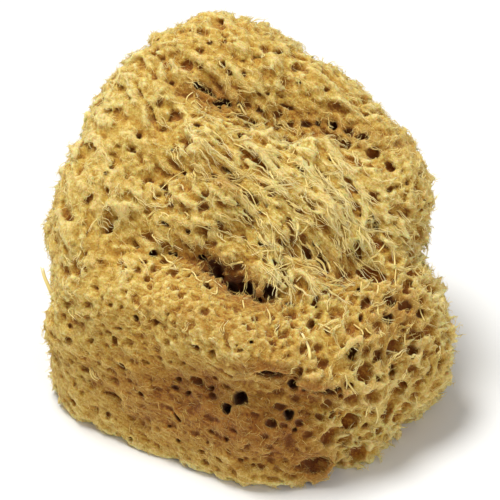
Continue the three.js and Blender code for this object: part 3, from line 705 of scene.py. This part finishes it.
TUBE_FOOT = 0.8  # a tube's width at its root and its tip, against the fibre's
TUBE_TIP = 0.3
OFF_AXIS = np.array((0.31, 0.52, 0.79))  # a direction that no fibre keeps to
ROOT_TONE = 0.75  # a fibre's tone at its root, against its tip's
# how much darker fibres are in the brown stains and the painted shade of the patches
STAIN_AND_SHADE_TONE = 0.3

FELT_LONG = 2.0
FELT_COUNT = 19000
FELT_TRIES = 3  # roots that are looked at for each fibre
FELT_DEEPEST = 1.6  # felt stands only where the body lies less than this under its envelope
FELT_OPEN = 0.5  # and where less than this of what is round it is solid
FELT_LOWEST = 0.5
FIBRE_LOWEST = 1.0  # the lowest root of any other fibre
FRAY_LONG = 2.3
FRAY_COUNT = 5000
FRAY_TRIES = 20
FRAY_DEEPEST = 0.9
FRAY_OPEN = 0.42
FRAY_SPARSE = 0.35  # how many there are in the honeycomb and on the side that isn't seen
FRAY_TONE = 0.86
STRAND_CLUMPS = 520
STRAND_DEEPEST = 1.2
# a strand's tone, and how much darker it is where more of the body is round it, a painted shade
STRAND_TONE = 1.15
STRAND_SHADE = 0.6
LOOSE_ROOTS = 40000  # roots of strands that are looked at away from the tufts
TIP_ROOTS = 3  # and on each tuft
TIP_WEIGHT = 2.0
TIP_PLACES = (0.2, 0.9)  # along the tuft
CLUMP = 3  # strands in each clump
CLUMP_APART = 0.6
CLUMP_LIFT = 0.1
CALM = 1.3  # how far the surface is blurred that the strands lie on
CALM_LIFT = 0.2
LOCK_SIDES = 5
LOCK_STEPS = 14
LOCK_FRAYS = 2  # finer strands beside each lock
LOCK_FRAY_WIDE = 0.5
FRAY_APART = 0.9  # how far their ends stray, in pixels
FRAY_START = 0.2  # and their roots, against their ends
LOCK_ROOT = 0.8  # how deep in the body a lock begins
LOCK_TONE = 0.95
LOCK_TONES = 0.08
LOCK_CALM = 5  # points along a lock over which its distance from the eye is evened out


def grown(grid, field, roots, courses, growth, lengths, rng):
    """Rows of points along fibres that grow from their roots, wandering, and hold to the field's surface."""
    n = len(roots)
    heading = unit(courses)
    bend = rng.normal(size=(n, 3)) * growth.wander
    phase = rng.uniform(0, 2 * np.pi, (n, 2))
    here = roots.copy()
    rows = [here]
    step = (lengths / growth.steps)[:, None]
    for k in range(growth.steps):
        bend = bend * BEND_KEPT + rng.normal(size=(n, 3)) * growth.wander * BEND_ADDED
        heading = unit(heading + bend)
        normal = grid.slope(field, here)
        side = np.cross(heading, normal)
        sway = np.sin(phase[:, :1] + (k + 1) * step * 2 * np.pi / SWAY_WAVE) * growth.wave
        here = here + heading * step + side * sway * step
        distance = grid.sample(field, here)[:, None]
        wanted = growth.lift + growth.rise * (k + 1) / growth.steps
        low = np.maximum(SKIN - distance, 0)
        here = here + grid.slope(field, here) * (low + growth.hold * (wanted - distance) * (distance > SKIN))
        here[:, 2] = np.maximum(here[:, 2], FLOOR_GAP)
        heading = unit(here - rows[-1])
        rows.append(here)
    return np.stack(rows, 1)


def tubes(paths, widths, tones, sides=3):
    """Closed tubes along rows of points, as vertices, quads, caps, and each vertex's tone and place along."""
    n, m, _ = paths.shape
    along = unit(np.gradient(paths, axis=1))
    side = unit(np.cross(along, OFF_AXIS))
    other = np.cross(along, side)
    taper = np.linspace(1, TUBE_TIP, m)[None, :, None] * widths[:, None, None] / 2
    taper[:, 0] *= TUBE_FOOT
    angles = np.arange(sides) * 2 * np.pi / sides
    rings = [paths + (side * np.cos(a) + other * np.sin(a)) * taper for a in angles]
    vertices = np.stack(rings, 2)
    index = np.arange(n * m * sides).reshape(n, m, sides)
    turned = np.roll(index, -1, axis=2)
    quads = np.stack([index[:, :-1], turned[:, :-1], turned[:, 1:], index[:, 1:]], -1).reshape(-1, 4)
    ends = np.concatenate([index[:, 0, ::-1], index[:, -1]])
    caps = np.concatenate([ends[:, [0, k, k + 1]] for k in range(1, sides - 1)])
    tone = np.repeat(tones, m * sides)
    along_share = np.tile(np.repeat(np.linspace(0, 1, m), sides), n)
    return vertices.reshape(-1, 3), quads, caps, tone, along_share


def object_from(name, vertices, quads, triangles=None, attributes=None):
    """A mesh object from points in millimetres."""
    mesh = bpy.data.meshes.new(name)
    mesh.vertices.add(len(vertices))
    mesh.vertices.foreach_set("co", (vertices / 1000).astype(np.float32).ravel())
    loops = [np.asarray(quads).ravel()]
    counts = [np.full(len(quads), 4)]
    if triangles is not None:
        loops.append(np.asarray(triangles).ravel())
        counts.append(np.full(len(triangles), 3))
    loops = np.concatenate(loops).astype(np.int32)
    counts = np.concatenate(counts).astype(np.int32)
    mesh.loops.add(len(loops))
    mesh.loops.foreach_set("vertex_index", loops)
    mesh.polygons.add(len(counts))
    mesh.polygons.foreach_set("loop_start", np.concatenate([[0], np.cumsum(counts)[:-1]]).astype(np.int32))
    mesh.update(calc_edges=True)
    mesh.validate()
    for key, values in (attributes or {}).items():
        add_attribute(mesh, key, values)
    made = bpy.data.objects.new(name, mesh)
    bpy.context.scene.collection.objects.link(made)
    return made


def add_attribute(mesh, name, values):
    """Gives each point of a mesh a value that a material can read."""
    attribute = mesh.attributes.new(name, "FLOAT", "POINT")
    attribute.data.foreach_set("value", np.asarray(values, np.float32))


def decimated(made, faces, seen):
    """made with about that many triangles, and more of them where it is seen in the photograph."""
    group = made.vertex_groups.new(name="detail")
    group.add(np.flatnonzero(~seen).tolist(), PLAIN_WEIGHT, "REPLACE")
    group.add(np.flatnonzero(seen).tolist(), DETAIL_WEIGHT, "REPLACE")
    modifier = made.modifiers.new("fewer", "DECIMATE")
    modifier.vertex_group = group.name
    modifier.ratio = min(1.0, faces / (2 * len(made.data.polygons)))
    modifier.use_collapse_triangulate = True
    depsgraph = bpy.context.evaluated_depsgraph_get()
    mesh = bpy.data.meshes.new_from_object(made.evaluated_get(depsgraph))
    made.modifiers.clear()
    made.vertex_groups.clear()
    made.data = mesh
    return made


def without_slivers(mesh):
    """Joins points that lie on each other, so that no triangle is without a face."""
    made = bmesh.new()
    made.from_mesh(mesh)
    bmesh.ops.dissolve_degenerate(made, dist=SLIVER, edges=made.edges)
    bmesh.ops.triangulate(made, faces=made.faces)
    made.to_mesh(mesh)
    made.free()


def smooth_shaded(mesh):
    """Shades a mesh as one smooth surface."""
    mesh.polygons.foreach_set("use_smooth", np.ones(len(mesh.polygons), bool))


def vertex_array(mesh):
    """A mesh's points in millimetres."""
    co = np.empty(len(mesh.vertices) * 3, np.float32)
    mesh.vertices.foreach_get("co", co)
    return co.reshape(-1, 3).astype(float) * 1000


# Materials


def colour(*srgb):
    """A colour for a shader, from its sRGB values of 0 to 255."""
    linear = [(c / 255 / 12.92) if c <= 10 else ((c / 255 + 0.055) / 1.055) ** 2.4 for c in srgb]
    return (*linear, 1.0)


def node(tree, kind, inputs=None, **settings):
    """A new node with its settings, and its inputs as values or linked."""
    made = tree.nodes.new("ShaderNode" + kind)
    for key, value in settings.items():
        setattr(made, key, value)
    for key, value in (inputs or {}).items():
        if isinstance(value, bpy.types.NodeSocket):
            tree.links.new(value, made.inputs[key])
        else:
            made.inputs[key].default_value = value
    return made


def ramp(tree, value, stops):
    """A colour that changes with value over stops, each a place and an sRGB colour."""
    made = node(tree, "ValToRGB", {"Fac": value})
    elements = made.color_ramp.elements
    while len(elements) < len(stops):
        elements.new(0.5)
    for element, (place, *tint) in zip(elements, stops):
        element.position = place
        element.color = colour(*tint)
    return made.outputs["Color"]


def mixed(tree, share, a, b, blend="MIX"):
    """Colour a, with that share of b."""
    return node(tree, "Mix", {0: share, 6: a, 7: b}, data_type="RGBA", blend_type=blend).outputs[2]


def attribute(tree, name):
    """The value that a mesh's points have for a material."""
    return node(tree, "Attribute", attribute_name=name).outputs["Fac"]


def ranged(tree, value, low, high, to_low=0.0, to_high=1.0):
    """value, moved from one range to another and kept in it."""
    inputs = {"Value": value, "From Min": low, "From Max": high, "To Min": to_low, "To Max": to_high}
    return node(tree, "MapRange", inputs).outputs["Result"]


def noise(tree, scale, detail=2.0, rough=0.55):
    """Noise in the object's own place, with scale waves to a metre."""
    place = node(tree, "TexCoord").outputs["Object"]
    inputs = {"Vector": place, "Scale": scale, "Detail": detail, "Roughness": rough}
    return node(tree, "TexNoise", inputs).outputs["Fac"]


def new_material(name, inputs):
    """A material, its nodes and its shader, which has these plain inputs."""
    made = bpy.data.materials.new(name)
    made.use_nodes = True
    tree = made.node_tree
    tree.nodes.clear()
    output = tree.nodes.new("ShaderNodeOutputMaterial")
    principled = tree.nodes.new("ShaderNodeBsdfPrincipled")
    tree.links.new(principled.outputs["BSDF"], output.inputs["Surface"])
    for key, value in inputs.items():
        principled.inputs[key].default_value = value
    return made, tree, principled


def streaked(tree, direction, long, wide):
    """Noise drawn out along a direction: its waves are long along it and wide across it, in metres."""
    along = Vector(direction).normalized()
    across = along.cross(Vector(AWAY)).normalized()
    turned = Matrix((along, across, along.cross(across))).transposed().to_euler()
    place = node(tree, "TexCoord").outputs["Object"]
    inputs = {"Vector": place, "Rotation": turned, "Scale": (long, wide, wide)}
    mapped = node(tree, "Mapping", inputs, vector_type="TEXTURE").outputs["Vector"]
    return node(tree, "TexNoise", {"Vector": mapped, "Scale": 1.0, "Detail": 2.0}).outputs["Fac"]


def maths(tree, operation, a, b):
    """Two values, joined by an operation."""
    return node(tree, "Math", {0: a, 1: b}, operation=operation).outputs[0]


BODY_SHADER = {
    "Roughness": 0.85,
    "Specular IOR Level": 0.25,
    "Subsurface Weight": 0.7,
    "Subsurface Radius": (1.0, 0.5, 0.18),
    "Subsurface Scale": 0.003,
    "Sheen Weight": 0.25,
    "Sheen Roughness": 0.5,
    "Sheen Tint": colour(255, 236, 190),
}
# The body's own colour, with painted shade towards the dark end in enclosed places and painted light towards
# the cream end on open crests
BODY_TINTS_AND_PAINTED_SHADING = (
    (0.05, 152, 96, 30),
    (0.28, 192, 145, 54),
    (0.5, 206, 172, 82),
    (0.72, 224, 200, 118),
    (0.95, 240, 222, 156),
)
WARM_TINT = colour(232, 200, 110)
WARM_SHARE = 0.3
# Painted shade: the body darkens with its depth under the envelope
DEEP_SHADE_TINTS = ((0.0, 255, 255, 255), (0.3, 244, 216, 160), (0.8, 128, 72, 34))
# The patches' browning, from stains and from painted shade
STAIN_AND_SHADE_TINT = colour(206, 176, 150)
STAIN_AND_SHADE_STEP = 0.25
FIBRE_SHADER = {"Roughness": 0.6, "Specular IOR Level": 0.4, "Subsurface Weight": 0.0, "Sheen Weight": 0.2}
FIBRE_TINTS_AND_SHADE = (
    (0.0, 150, 98, 28),
    (0.3, 204, 160, 64),
    (0.6, 236, 205, 108),
    (0.85, 251, 231, 150),
    (1.0, 255, 243, 186),
)
FLOOR_SHADER = {"Roughness": 0.9}
FLOOR_TINTS = ((0.3, 238, 238, 236), (0.7, 244, 244, 242))
FLOOR_WAVES = 6
BUMP = {"Strength": 0.8, "Distance": 0.0006}
# Noises: waves to a metre, detail and roughness
SPECKLE = (1300, 3.0, 0.65)
FINE_BUMPS = (2300, 2.0, 0.6)
BUMPS = (900, 3.0, 0.6)
WARM_PATCHES = 45
WARM_RANGE = (0.35, 0.68)
NOISE_RANGE = (0.3, 0.7)
# Drawn out noises: direction, and waves along and across it in metres
COMBING = (picture_direction(-42), 0.006, 0.0007)
LINES = (picture_direction(-22), 0.005, 0.0008)
# How far each changes the place on the body's run of tints
SPECKLE_SHADE = 0.26
COMBING_SHADE = 0.25
LINES_SHADE = 0.2


def swung(tree, value, by):
    """Noise as a change from -by to by."""
    return ranged(tree, value, *NOISE_RANGE, -by, by)


def body_material():
    """The felted body: cream on its crests, amber in its pits and dark brown deep inside, as painted light
    and painted shade, with patches of brown stains and painted shade.
    """
    made, tree, principled = new_material("sponge_body", BODY_SHADER)
    stain_and_shade = attribute(tree, "stain_and_shade")
    combed = attribute(tree, "combed")
    felted = attribute(tree, "felted")
    combing = streaked(tree, *COMBING)
    lines = streaked(tree, *LINES)
    drawn = maths(tree, "MULTIPLY", combed, swung(tree, combing, COMBING_SHADE))
    lined = maths(tree, "MULTIPLY", felted, swung(tree, lines, LINES_SHADE))
    speckle = swung(tree, noise(tree, *SPECKLE), SPECKLE_SHADE)
    # how open a point is paints light on the crests and shade in enclosed places
    place = maths(tree, "ADD", attribute(tree, "open"), speckle)
    place = maths(tree, "ADD", place, maths(tree, "ADD", drawn, lined))
    place = maths(tree, "SUBTRACT", place, maths(tree, "MULTIPLY", stain_and_shade, STAIN_AND_SHADE_STEP))
    tint = ramp(tree, place, BODY_TINTS_AND_PAINTED_SHADING)
    patches = ranged(tree, noise(tree, WARM_PATCHES), *WARM_RANGE)
    warm = mixed(tree, patches, tint, WARM_TINT, "MULTIPLY")
    tint = mixed(tree, WARM_SHARE, tint, warm)
    # deeper in the body is darker, a painted shade, and the patches brown it with stains and painted shade
    tint = mixed(tree, 1.0, tint, ramp(tree, attribute(tree, "deep"), DEEP_SHADE_TINTS), "MULTIPLY")
    browned_and_shaded = mixed(tree, 1.0, tint, STAIN_AND_SHADE_TINT, "MULTIPLY")
    tint = mixed(tree, ranged(tree, stain_and_shade, 0.0, 1.0), tint, browned_and_shaded)
    tree.links.new(tint, principled.inputs["Base Color"])
    height = maths(tree, "ADD", noise(tree, *FINE_BUMPS), noise(tree, *BUMPS))
    height = maths(tree, "ADD", height, maths(tree, "MULTIPLY", combed, combing))
    height = maths(tree, "ADD", height, maths(tree, "MULTIPLY", felted, lines))
    bump = node(tree, "Bump", {"Height": height, **BUMP})
    tree.links.new(bump.outputs["Normal"], principled.inputs["Normal"])
    return made


def ramped_material(name, inputs, tints, source):
    """A plain material whose colour runs through tints with what source makes of its nodes."""
    made, tree, principled = new_material(name, inputs)
    tree.links.new(ramp(tree, source(tree), tints), principled.inputs["Base Color"])
    return made


# The scene round the part


def look_from(obj, place, target):
    """Puts obj at a place, in metres, with its view towards a target."""
    obj.location = place
    obj.rotation_euler = (Vector(target) - Vector(place)).to_track_quat("-Z", "Y").to_euler()
    bpy.context.scene.collection.objects.link(obj)


SENSOR = 36.0
CLIP = (0.01, 20)
FLOOR_HALF = 3000.0
FLOOR_DROP = 0.15  # the floor lies this far under the sponge, so that they don't touch
SKY = 0.35
# Lights: place and size in metres, and watts
LIGHTS = (("key", (-0.3, 0.1, 1.2), 0.5, 14.2), ("fill", (0.6, -1.0, 0.6), 0.8, 3.6))


def add_camera():
    """The camera at the photograph's eye."""
    data = bpy.data.cameras.new("camera")
    data.sensor_fit = "HORIZONTAL"
    data.sensor_width = SENSOR
    data.lens = SENSOR * EYE_DISTANCE / (PHOTO_SIZE * MM_PER_PX)
    data.shift_x = (PHOTO_SIZE / 2 - PHOTO_MIDDLE[0]) / PHOTO_SIZE
    data.shift_y = (PHOTO_MIDDLE[1] - PHOTO_SIZE / 2) / PHOTO_SIZE
    data.clip_start, data.clip_end = CLIP
    camera = bpy.data.objects.new("camera", data)
    look_from(camera, EYE / 1000, HEART / 1000)
    bpy.context.scene.camera = camera


def add_light(name, place, size, watts):
    """A round light that looks at the sponge."""
    data = bpy.data.lights.new(name, "AREA")
    data.shape = "DISK"
    data.size = size
    data.energy = watts
    look_from(bpy.data.objects.new(name, data), place, HEART / 1000)


def add_floor():
    """A wide pale floor."""
    turns = np.array([(-1, -1, 0), (1, -1, 0), (1, 1, 0), (-1, 1, 0)])
    floor = object_from("floor", turns * FLOOR_HALF - np.array((0, 0, FLOOR_DROP)), [(0, 1, 2, 3)])
    pale = ramped_material("pale_floor", FLOOR_SHADER, FLOOR_TINTS, lambda tree: noise(tree, FLOOR_WAVES))
    floor.data.materials.append(pale)


def add_surroundings():
    """An even white sky and two soft lights."""
    world = bpy.data.worlds.new("world")
    bpy.context.scene.world = world
    world.use_nodes = True
    background = world.node_tree.nodes["Background"]
    background.inputs["Color"].default_value = (1, 1, 1, 1)
    background.inputs["Strength"].default_value = SKY
    for light in LIGHTS:
        add_light(*light)
    bpy.context.scene.view_settings.view_transform = "Standard"


# The sponge


def smooth_body(node_object, rng):
    """The body before it has pits, as a field with its lumps."""
    points, triangles = part_mesh(node_object)
    grid = Grid(points.min(0), points.max(0))
    envelope = blurred(level_set(grid, points, triangles), FACET_BLUR)
    for wave, height in LUMPS:
        envelope = envelope + noise_field(grid, wave, rng) * height
    add_folds(grid, envelope, rng)
    return grid, envelope, points, triangles


def candidates(grid, field, count, rng):
    """Points spread over the surface of a field, with the directions out of it."""
    points, _ = mesh_of(grid, field)
    chosen = points[rng.choice(len(points), min(count, len(points)), replace=False)].astype(float)
    return chosen, grid.slope(field, chosen)


def near_surface(grid, field, reach):
    """The voxels within reach of the surface: their places in the grid, their points, and directions out."""
    index = np.nonzero(np.abs(field) < reach)
    points = (np.stack(index, -1) + grid.low) * VOXEL
    return index, points, grid.slope(field, points)


def streaks(points, direction, rng):
    """Noise drawn out along a direction."""
    along = unit(np.array(direction))
    across = unit(np.cross(along, AWAY))
    away = np.cross(along, across)
    waves = ((along, STREAK_LONG), (across, STREAK_WIDE), (away, STREAK_WIDE))
    places = np.stack([points @ course / wave for course, wave in waves], -1)
    return noise_at(places, rng) + 0.5 * noise_at(places * FINER + FINER_SHIFT, rng)


def add_folds(grid, envelope, rng):
    """Folds along the flow of the fibres, in each zone by its own measure."""
    index, points, normals = near_surface(grid, envelope, STREAK_DEPTH)
    shares = zone_shares(points, normals)
    total = np.zeros(len(points))
    for k, zone in enumerate(ZONES):
        touched = shares[:, k] > LEAST_SHARE
        found = streaks(points[touched], picture_direction(zone.flow), rng)
        total[touched] += found * shares[touched, k] * KINDS[zone.kind].fold
    fade = np.clip(STREAK_DEPTH - np.abs(envelope[index]), 0, 1)
    envelope[index] += (total * fade).astype(np.float32)


def rooted_tufts(grid, body, points, normals, shares, rng):
    """Where tufts stand on the crests, each with its course, height and the half width of its foot."""
    kind = traits(shares)
    sunk = grid.sample(body, points)
    points = points - normals * np.clip(sunk, 0, TUFT_DROP)[:, None]
    crest = sunk < CREST * kind.wide * kind.deep
    index = np.flatnonzero(crest & (kind.tuft > TUFT_LEAST) & (points[:, 2] > TUFT_LOWEST))
    apart = kind.tufts_apart[index] * rng.uniform(*TUFT_GAPS, len(index))
    index = index[spread_out(points[index], apart, rng)]
    flow = flow_at(normals[index], shares[index])
    made = []
    for i, along in zip(index, flow):
        course = unit(normals[i] + along * kind.lean[i] + rng.normal(size=3) * TUFT_TILT)
        height = kind.tuft[i] * rng.uniform(*TUFT_HEIGHTS)
        made.append((points[i], course, height, kind.foot[i] * rng.uniform(*TUFT_FEET)))
    return made


def make_body_field(grid, envelope, surface, rng):
    """The body with its pits, crests and tufts, and the tufts. The envelope gets the outline's notches."""
    warp = [noise_field(grid, WARP_WAVE, rng) + 0.5 * noise_field(grid, WARP_WAVE / 2, rng) for _ in range(3)]
    cut_notches(grid, envelope, warp)
    body = envelope.copy()
    pits = photographed_pits(grid, envelope, surface)
    points, normals = candidates(grid, envelope, SEEDS, rng)
    shares = zone_shares(points, normals)
    pits += scattered_pits(points, normals, shares, pits, rng)
    for pit in pits:
        cut_pit(grid, body, warp, *pit)
    raise_crests(grid, body, surface)
    for wave, height in GRAIN:
        body += noise_field(grid, wave, rng) * height
    tufts = rooted_tufts(grid, body, points, normals, shares, rng)
    for tuft in tufts:
        raise_tuft(grid, body, *tuft)
    return np.maximum(body, -grid.axis(2)), tufts


def body_piece(grid, envelope, body, points, quads):
    """The visible body with what its material needs, and how solid the space round each voxel is."""
    seen = facing_eye(grid.slope(envelope, points)) > SEEN
    made = decimated(object_from("sponge_body", points, quads), BODY_FACES, seen)
    mesh = made.data
    co = vertex_array(mesh)
    co[:, 2] = np.maximum(co[:, 2], 0)
    mesh.vertices.foreach_set("co", (co / 1000).astype(np.float32).ravel())
    without_slivers(mesh)
    co = vertex_array(mesh)
    solid = blurred(np.clip(0.5 - body / VOXEL, 0, 1), SOLID_NEAR)
    near, far = grid.sample(solid, co), grid.sample(blurred(solid, SOLID_FAR), co)
    normals = grid.slope(envelope, co)
    shares = zone_shares(co, normals)
    # The colour's values: how open a point is, for painted light on crests and painted shade in hollows; how
    # deep it is, for painted shade; and the patches of stains and painted shade
    add_attribute(mesh, "open", np.clip(OPEN - OPEN_NEAR * near - OPEN_FAR * far, 0, 1))
    add_attribute(mesh, "deep", np.clip((-grid.sample(envelope, co) - DEEP_SHADE_FROM) / DEEP_SHADE_OVER, 0, 1))
    add_attribute(mesh, "stain_and_shade", stain_and_shade_at(co, normals))
    combed = kind_share(shares, "combed") + KNOBBY_COMBING * kind_share(shares, "knobby")
    add_attribute(mesh, "combed", combed)
    add_attribute(mesh, "felted", kind_share(shares, "wall", "fuzzy"))
    smooth_shaded(mesh)
    mesh.update()
    mesh.materials.append(body_material())
    return made, solid


def fibre_material():
    """Cream to golden, darker at the fibres' roots and, as a painted shade, in the pits."""
    return ramped_material("sponge_fibre", FIBRE_SHADER, FIBRE_TINTS_AND_SHADE, lambda tree: attribute(tree, "tone"))


def fibre_piece(name, paths, widths, tones, material, sides=3):
    """A piece of fibres along paths."""
    vertices, quads, caps, tone, along = tubes(paths, widths, tones, sides)
    tone = tone * (ROOT_TONE + (1 - ROOT_TONE) * along)
    piece = object_from(name, vertices, quads, caps, {"tone": tone})
    smooth_shaded(piece.data)
    piece.data.materials.append(material)
    return piece


def on_crest(grid, envelope, solid, points, deepest, least_open):
    """Where points lie less than deepest under the envelope, with enough open space round them."""
    return (grid.sample(envelope, points) > -deepest) & (grid.sample(solid, points) < least_open)


def fibre_paths(grid, field, growth, roots, normals, shares, long, rng):
    """Paths of fibres from their roots, along the flow as their kind says."""
    flow = flow_at(normals, shares)
    along, chance, out = growth.course
    courses = unit(flow * along + rng.normal(size=flow.shape) * chance + normals * out)
    return grown(grid, field, roots, courses, growth, long * rng.uniform(*growth.lengths, len(roots)), rng)


def fibre_looks(growth, paths, tones, normals, rng):
    """The fibres' widths, and their tones, darker in the brown stains and the painted shade of the patches
    and paler in the pale ones.
    """
    widths = growth.wide * rng.uniform(*growth.widths, len(paths))
    tones = tones + rng.normal(size=len(paths)) * growth.tones
    return widths, np.clip(tones - STAIN_AND_SHADE_TONE * stain_and_shade_at(paths[:, 0], normals), 0, 1)


def felt(grid, envelope, body, solid, points, material, rng):
    """Short fibres that lie all over the body."""
    roots = points[rng.choice(len(points), FELT_COUNT * FELT_TRIES, replace=False)]
    kept = on_crest(grid, envelope, solid, roots, FELT_DEEPEST, FELT_OPEN) & (roots[:, 2] > FELT_LOWEST)
    roots = roots[kept][:FELT_COUNT]
    normals = grid.slope(envelope, roots)
    paths = fibre_paths(grid, body, FELT, roots, normals, zone_shares(roots, normals), FELT_LONG, rng)
    # felt is darker where more of the body is round it, a painted shade
    widths, tones = fibre_looks(FELT, paths, 1.0 - grid.sample(solid, paths[:, 1]), normals, rng)
    halves = np.array_split(np.arange(len(paths)), 2)
    return [
        fibre_piece(f"sponge_felt_{k + 1}", paths[half], widths[half], tones[half], material)
        for k, half in enumerate(halves)
    ]


def frays(grid, envelope, body, solid, points, material, rng):
    """Pale curled fibres on the crests of the frayed zones."""
    roots = points[rng.choice(len(points), FRAY_COUNT * FRAY_TRIES, replace=False)]
    normals = grid.slope(envelope, roots)
    shares = zone_shares(roots, normals)
    share = kind_share(shares, "knobby", "cottony")
    share = share + FRAY_SPARSE * (kind_share(shares, "honeycomb") + shares[:, -1])
    kept = on_crest(grid, envelope, solid, roots, FRAY_DEEPEST, FRAY_OPEN) & (roots[:, 2] > FIBRE_LOWEST)
    kept = np.flatnonzero(kept & (rng.random(len(roots)) < share))[:FRAY_COUNT]
    paths = fibre_paths(grid, body, FRAY, roots[kept], normals[kept], shares[kept], FRAY_LONG, rng)
    widths, tones = fibre_looks(FRAY, paths, FRAY_TONE, normals[kept], rng)
    return fibre_piece("sponge_frays", paths, widths, tones, material)


def clumped(grid, body, paths, rng):
    """Paths, each with others beside it that start and end a little off it."""
    share = np.linspace(0, 1, paths.shape[1])[None, :, None]
    made = [paths]
    for _ in range(CLUMP - 1):
        starts = rng.normal(size=(len(paths), 1, 3)) * CLUMP_APART
        ends = rng.normal(size=(len(paths), 1, 3)) * CLUMP_APART
        made.append(paths + starts * (1 - share) + ends * share)
    made = np.concatenate(made)
    for k in range(made.shape[1]):
        here = made[:, k]
        distance = grid.sample(body, here)[:, None]
        lift = np.maximum(CLUMP_LIFT - distance, 0) if k else -distance
        made[:, k] = here + grid.slope(body, here) * lift
    made[..., 2] = np.maximum(made[..., 2], FLOOR_GAP)
    return made


def strands(grid, envelope, body, calm, solid, tufts, points, material, rng):
    """Long fibres in clumps from the tufts and over the mound, along the flow."""
    tips = np.array([at + course * height * rng.uniform(*TIP_PLACES) for at, course, height, _ in tufts])
    loose = points[rng.choice(len(points), LOOSE_ROOTS, replace=False)]
    roots = np.concatenate([loose, np.repeat(tips, TIP_ROOTS, axis=0)])
    normals = grid.slope(envelope, roots)
    shares = zone_shares(roots, normals)
    kind = traits(shares)
    high = np.clip(STRAND_DEEPEST + grid.sample(envelope, roots), 0, 1) * (roots[:, 2] > FIBRE_LOWEST)
    weight = kind.strands * np.where(np.arange(len(roots)) >= LOOSE_ROOTS, TIP_WEIGHT, 1.0) * high
    chosen = rng.choice(len(roots), STRAND_CLUMPS, replace=False, p=weight / weight.sum())
    roots, normals, long = roots[chosen], normals[chosen], kind.strand_long[chosen]
    paths = fibre_paths(grid, calm, STRAND, roots, normals, shares[chosen], long, rng)
    paths = clumped(grid, body, paths, rng)
    # strands are darker where more of the body is round them, a painted shade
    tones = STRAND_TONE - grid.sample(solid, paths[:, 3]) * STRAND_SHADE
    widths, tones = fibre_looks(STRAND, paths, tones, np.tile(normals, (CLUMP, 1)), rng)
    return fibre_piece("sponge_strands", paths, widths, tones, material)


def curve_through(row, steps):
    """Points at even steps along a Catmull-Rom curve through a row of points."""
    row = np.array(row, float)
    row = np.concatenate([[2 * row[0] - row[1]], row, [2 * row[-1] - row[-2]]])
    made = []
    for place in np.linspace(0, len(row) - 3 - 1e-6, steps):
        i = int(place)
        t = place - i
        a, b, c, d = row[i : i + 4]
        bend = (2 * a - 5 * b + 4 * c - d) * t * t + (3 * b - a - 3 * c + d) * t**3
        made.append(0.5 * (2 * b + (c - a) * t + bend))
    return np.array(made)


def lock_path(surface, pixels, away):
    """A strand over the surface through a row of pixels, or at a depth behind the heart's plane."""
    rays = np.array([pixel_ray(x, y) for x, y in pixels])
    if away is not None:
        return EYE + rays * ((EYE_DISTANCE + away) / (rays @ AWAY))[:, None]
    hits = [first_hit(surface, x, y) for x, y in pixels]
    if any(hit is None for hit in hits):
        return None
    depths = np.linalg.norm(np.array(hits) - EYE, axis=1)
    calmed = np.convolve(np.pad(depths, LOCK_CALM // 2, "edge"), np.ones(LOCK_CALM) / LOCK_CALM, "valid")
    return EYE + rays * np.minimum(calmed, depths)[:, None]


def locks(grid, body, calm, material, rng):
    """The photograph's strands, each with finer ones beside it."""
    points, quads = mesh_of(grid, calm)
    surface = BVHTree.FromPolygons(points.tolist(), quads.tolist())
    paths, widths = [], []
    for lock in LOCKS:
        pixels = curve_through(lock.row, LOCK_STEPS)
        for k in range(1 + LOCK_FRAYS):
            share = np.linspace(FRAY_START, 1, LOCK_STEPS)[:, None]
            stray = share * rng.normal(size=2) * FRAY_APART * min(k, 1)
            path = lock_path(surface, pixels + stray, lock.away)
            if path is not None:
                path[0] -= grid.slope(body, path[:1])[0] * LOCK_ROOT
                paths.append(path)
                widths.append(lock.wide * (LOCK_FRAY_WIDE if k else 1))
    paths, widths = np.array(paths), np.array(widths)
    paths[..., 2] = np.maximum(paths[..., 2], FLOOR_GAP)
    tones = np.clip(LOCK_TONE + rng.normal(size=len(paths)) * LOCK_TONES, 0, 1)
    return fibre_piece("sponge_locks", paths, widths, tones, material, LOCK_SIDES)


def main():
    """Makes the sponge's pieces and what is round them."""
    rng = np.random.default_rng(SEED)
    grid, envelope, points, triangles = smooth_body(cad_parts[NODE], rng)
    surface = BVHTree.FromPolygons(points.tolist(), triangles.tolist())
    body, tufts = make_body_field(grid, envelope, surface, rng)
    points, quads = in_one_piece(*mesh_of(grid, body))
    points = points.astype(float)
    made, solid = body_piece(grid, envelope, body, points, quads)
    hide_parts(NODE)
    material = fibre_material()
    calm = blurred(body, CALM) - CALM_LIFT
    pieces = [made, *felt(grid, envelope, body, solid, points, material, rng)]
    pieces.append(strands(grid, envelope, body, calm, solid, tufts, points, material, rng))
    pieces.append(locks(grid, body, calm, material, rng))
    pieces.append(frays(grid, envelope, body, solid, points, material, rng))
    for piece in pieces:
        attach(piece, "root")
    add_floor()
    add_surroundings()
    add_camera()


main()
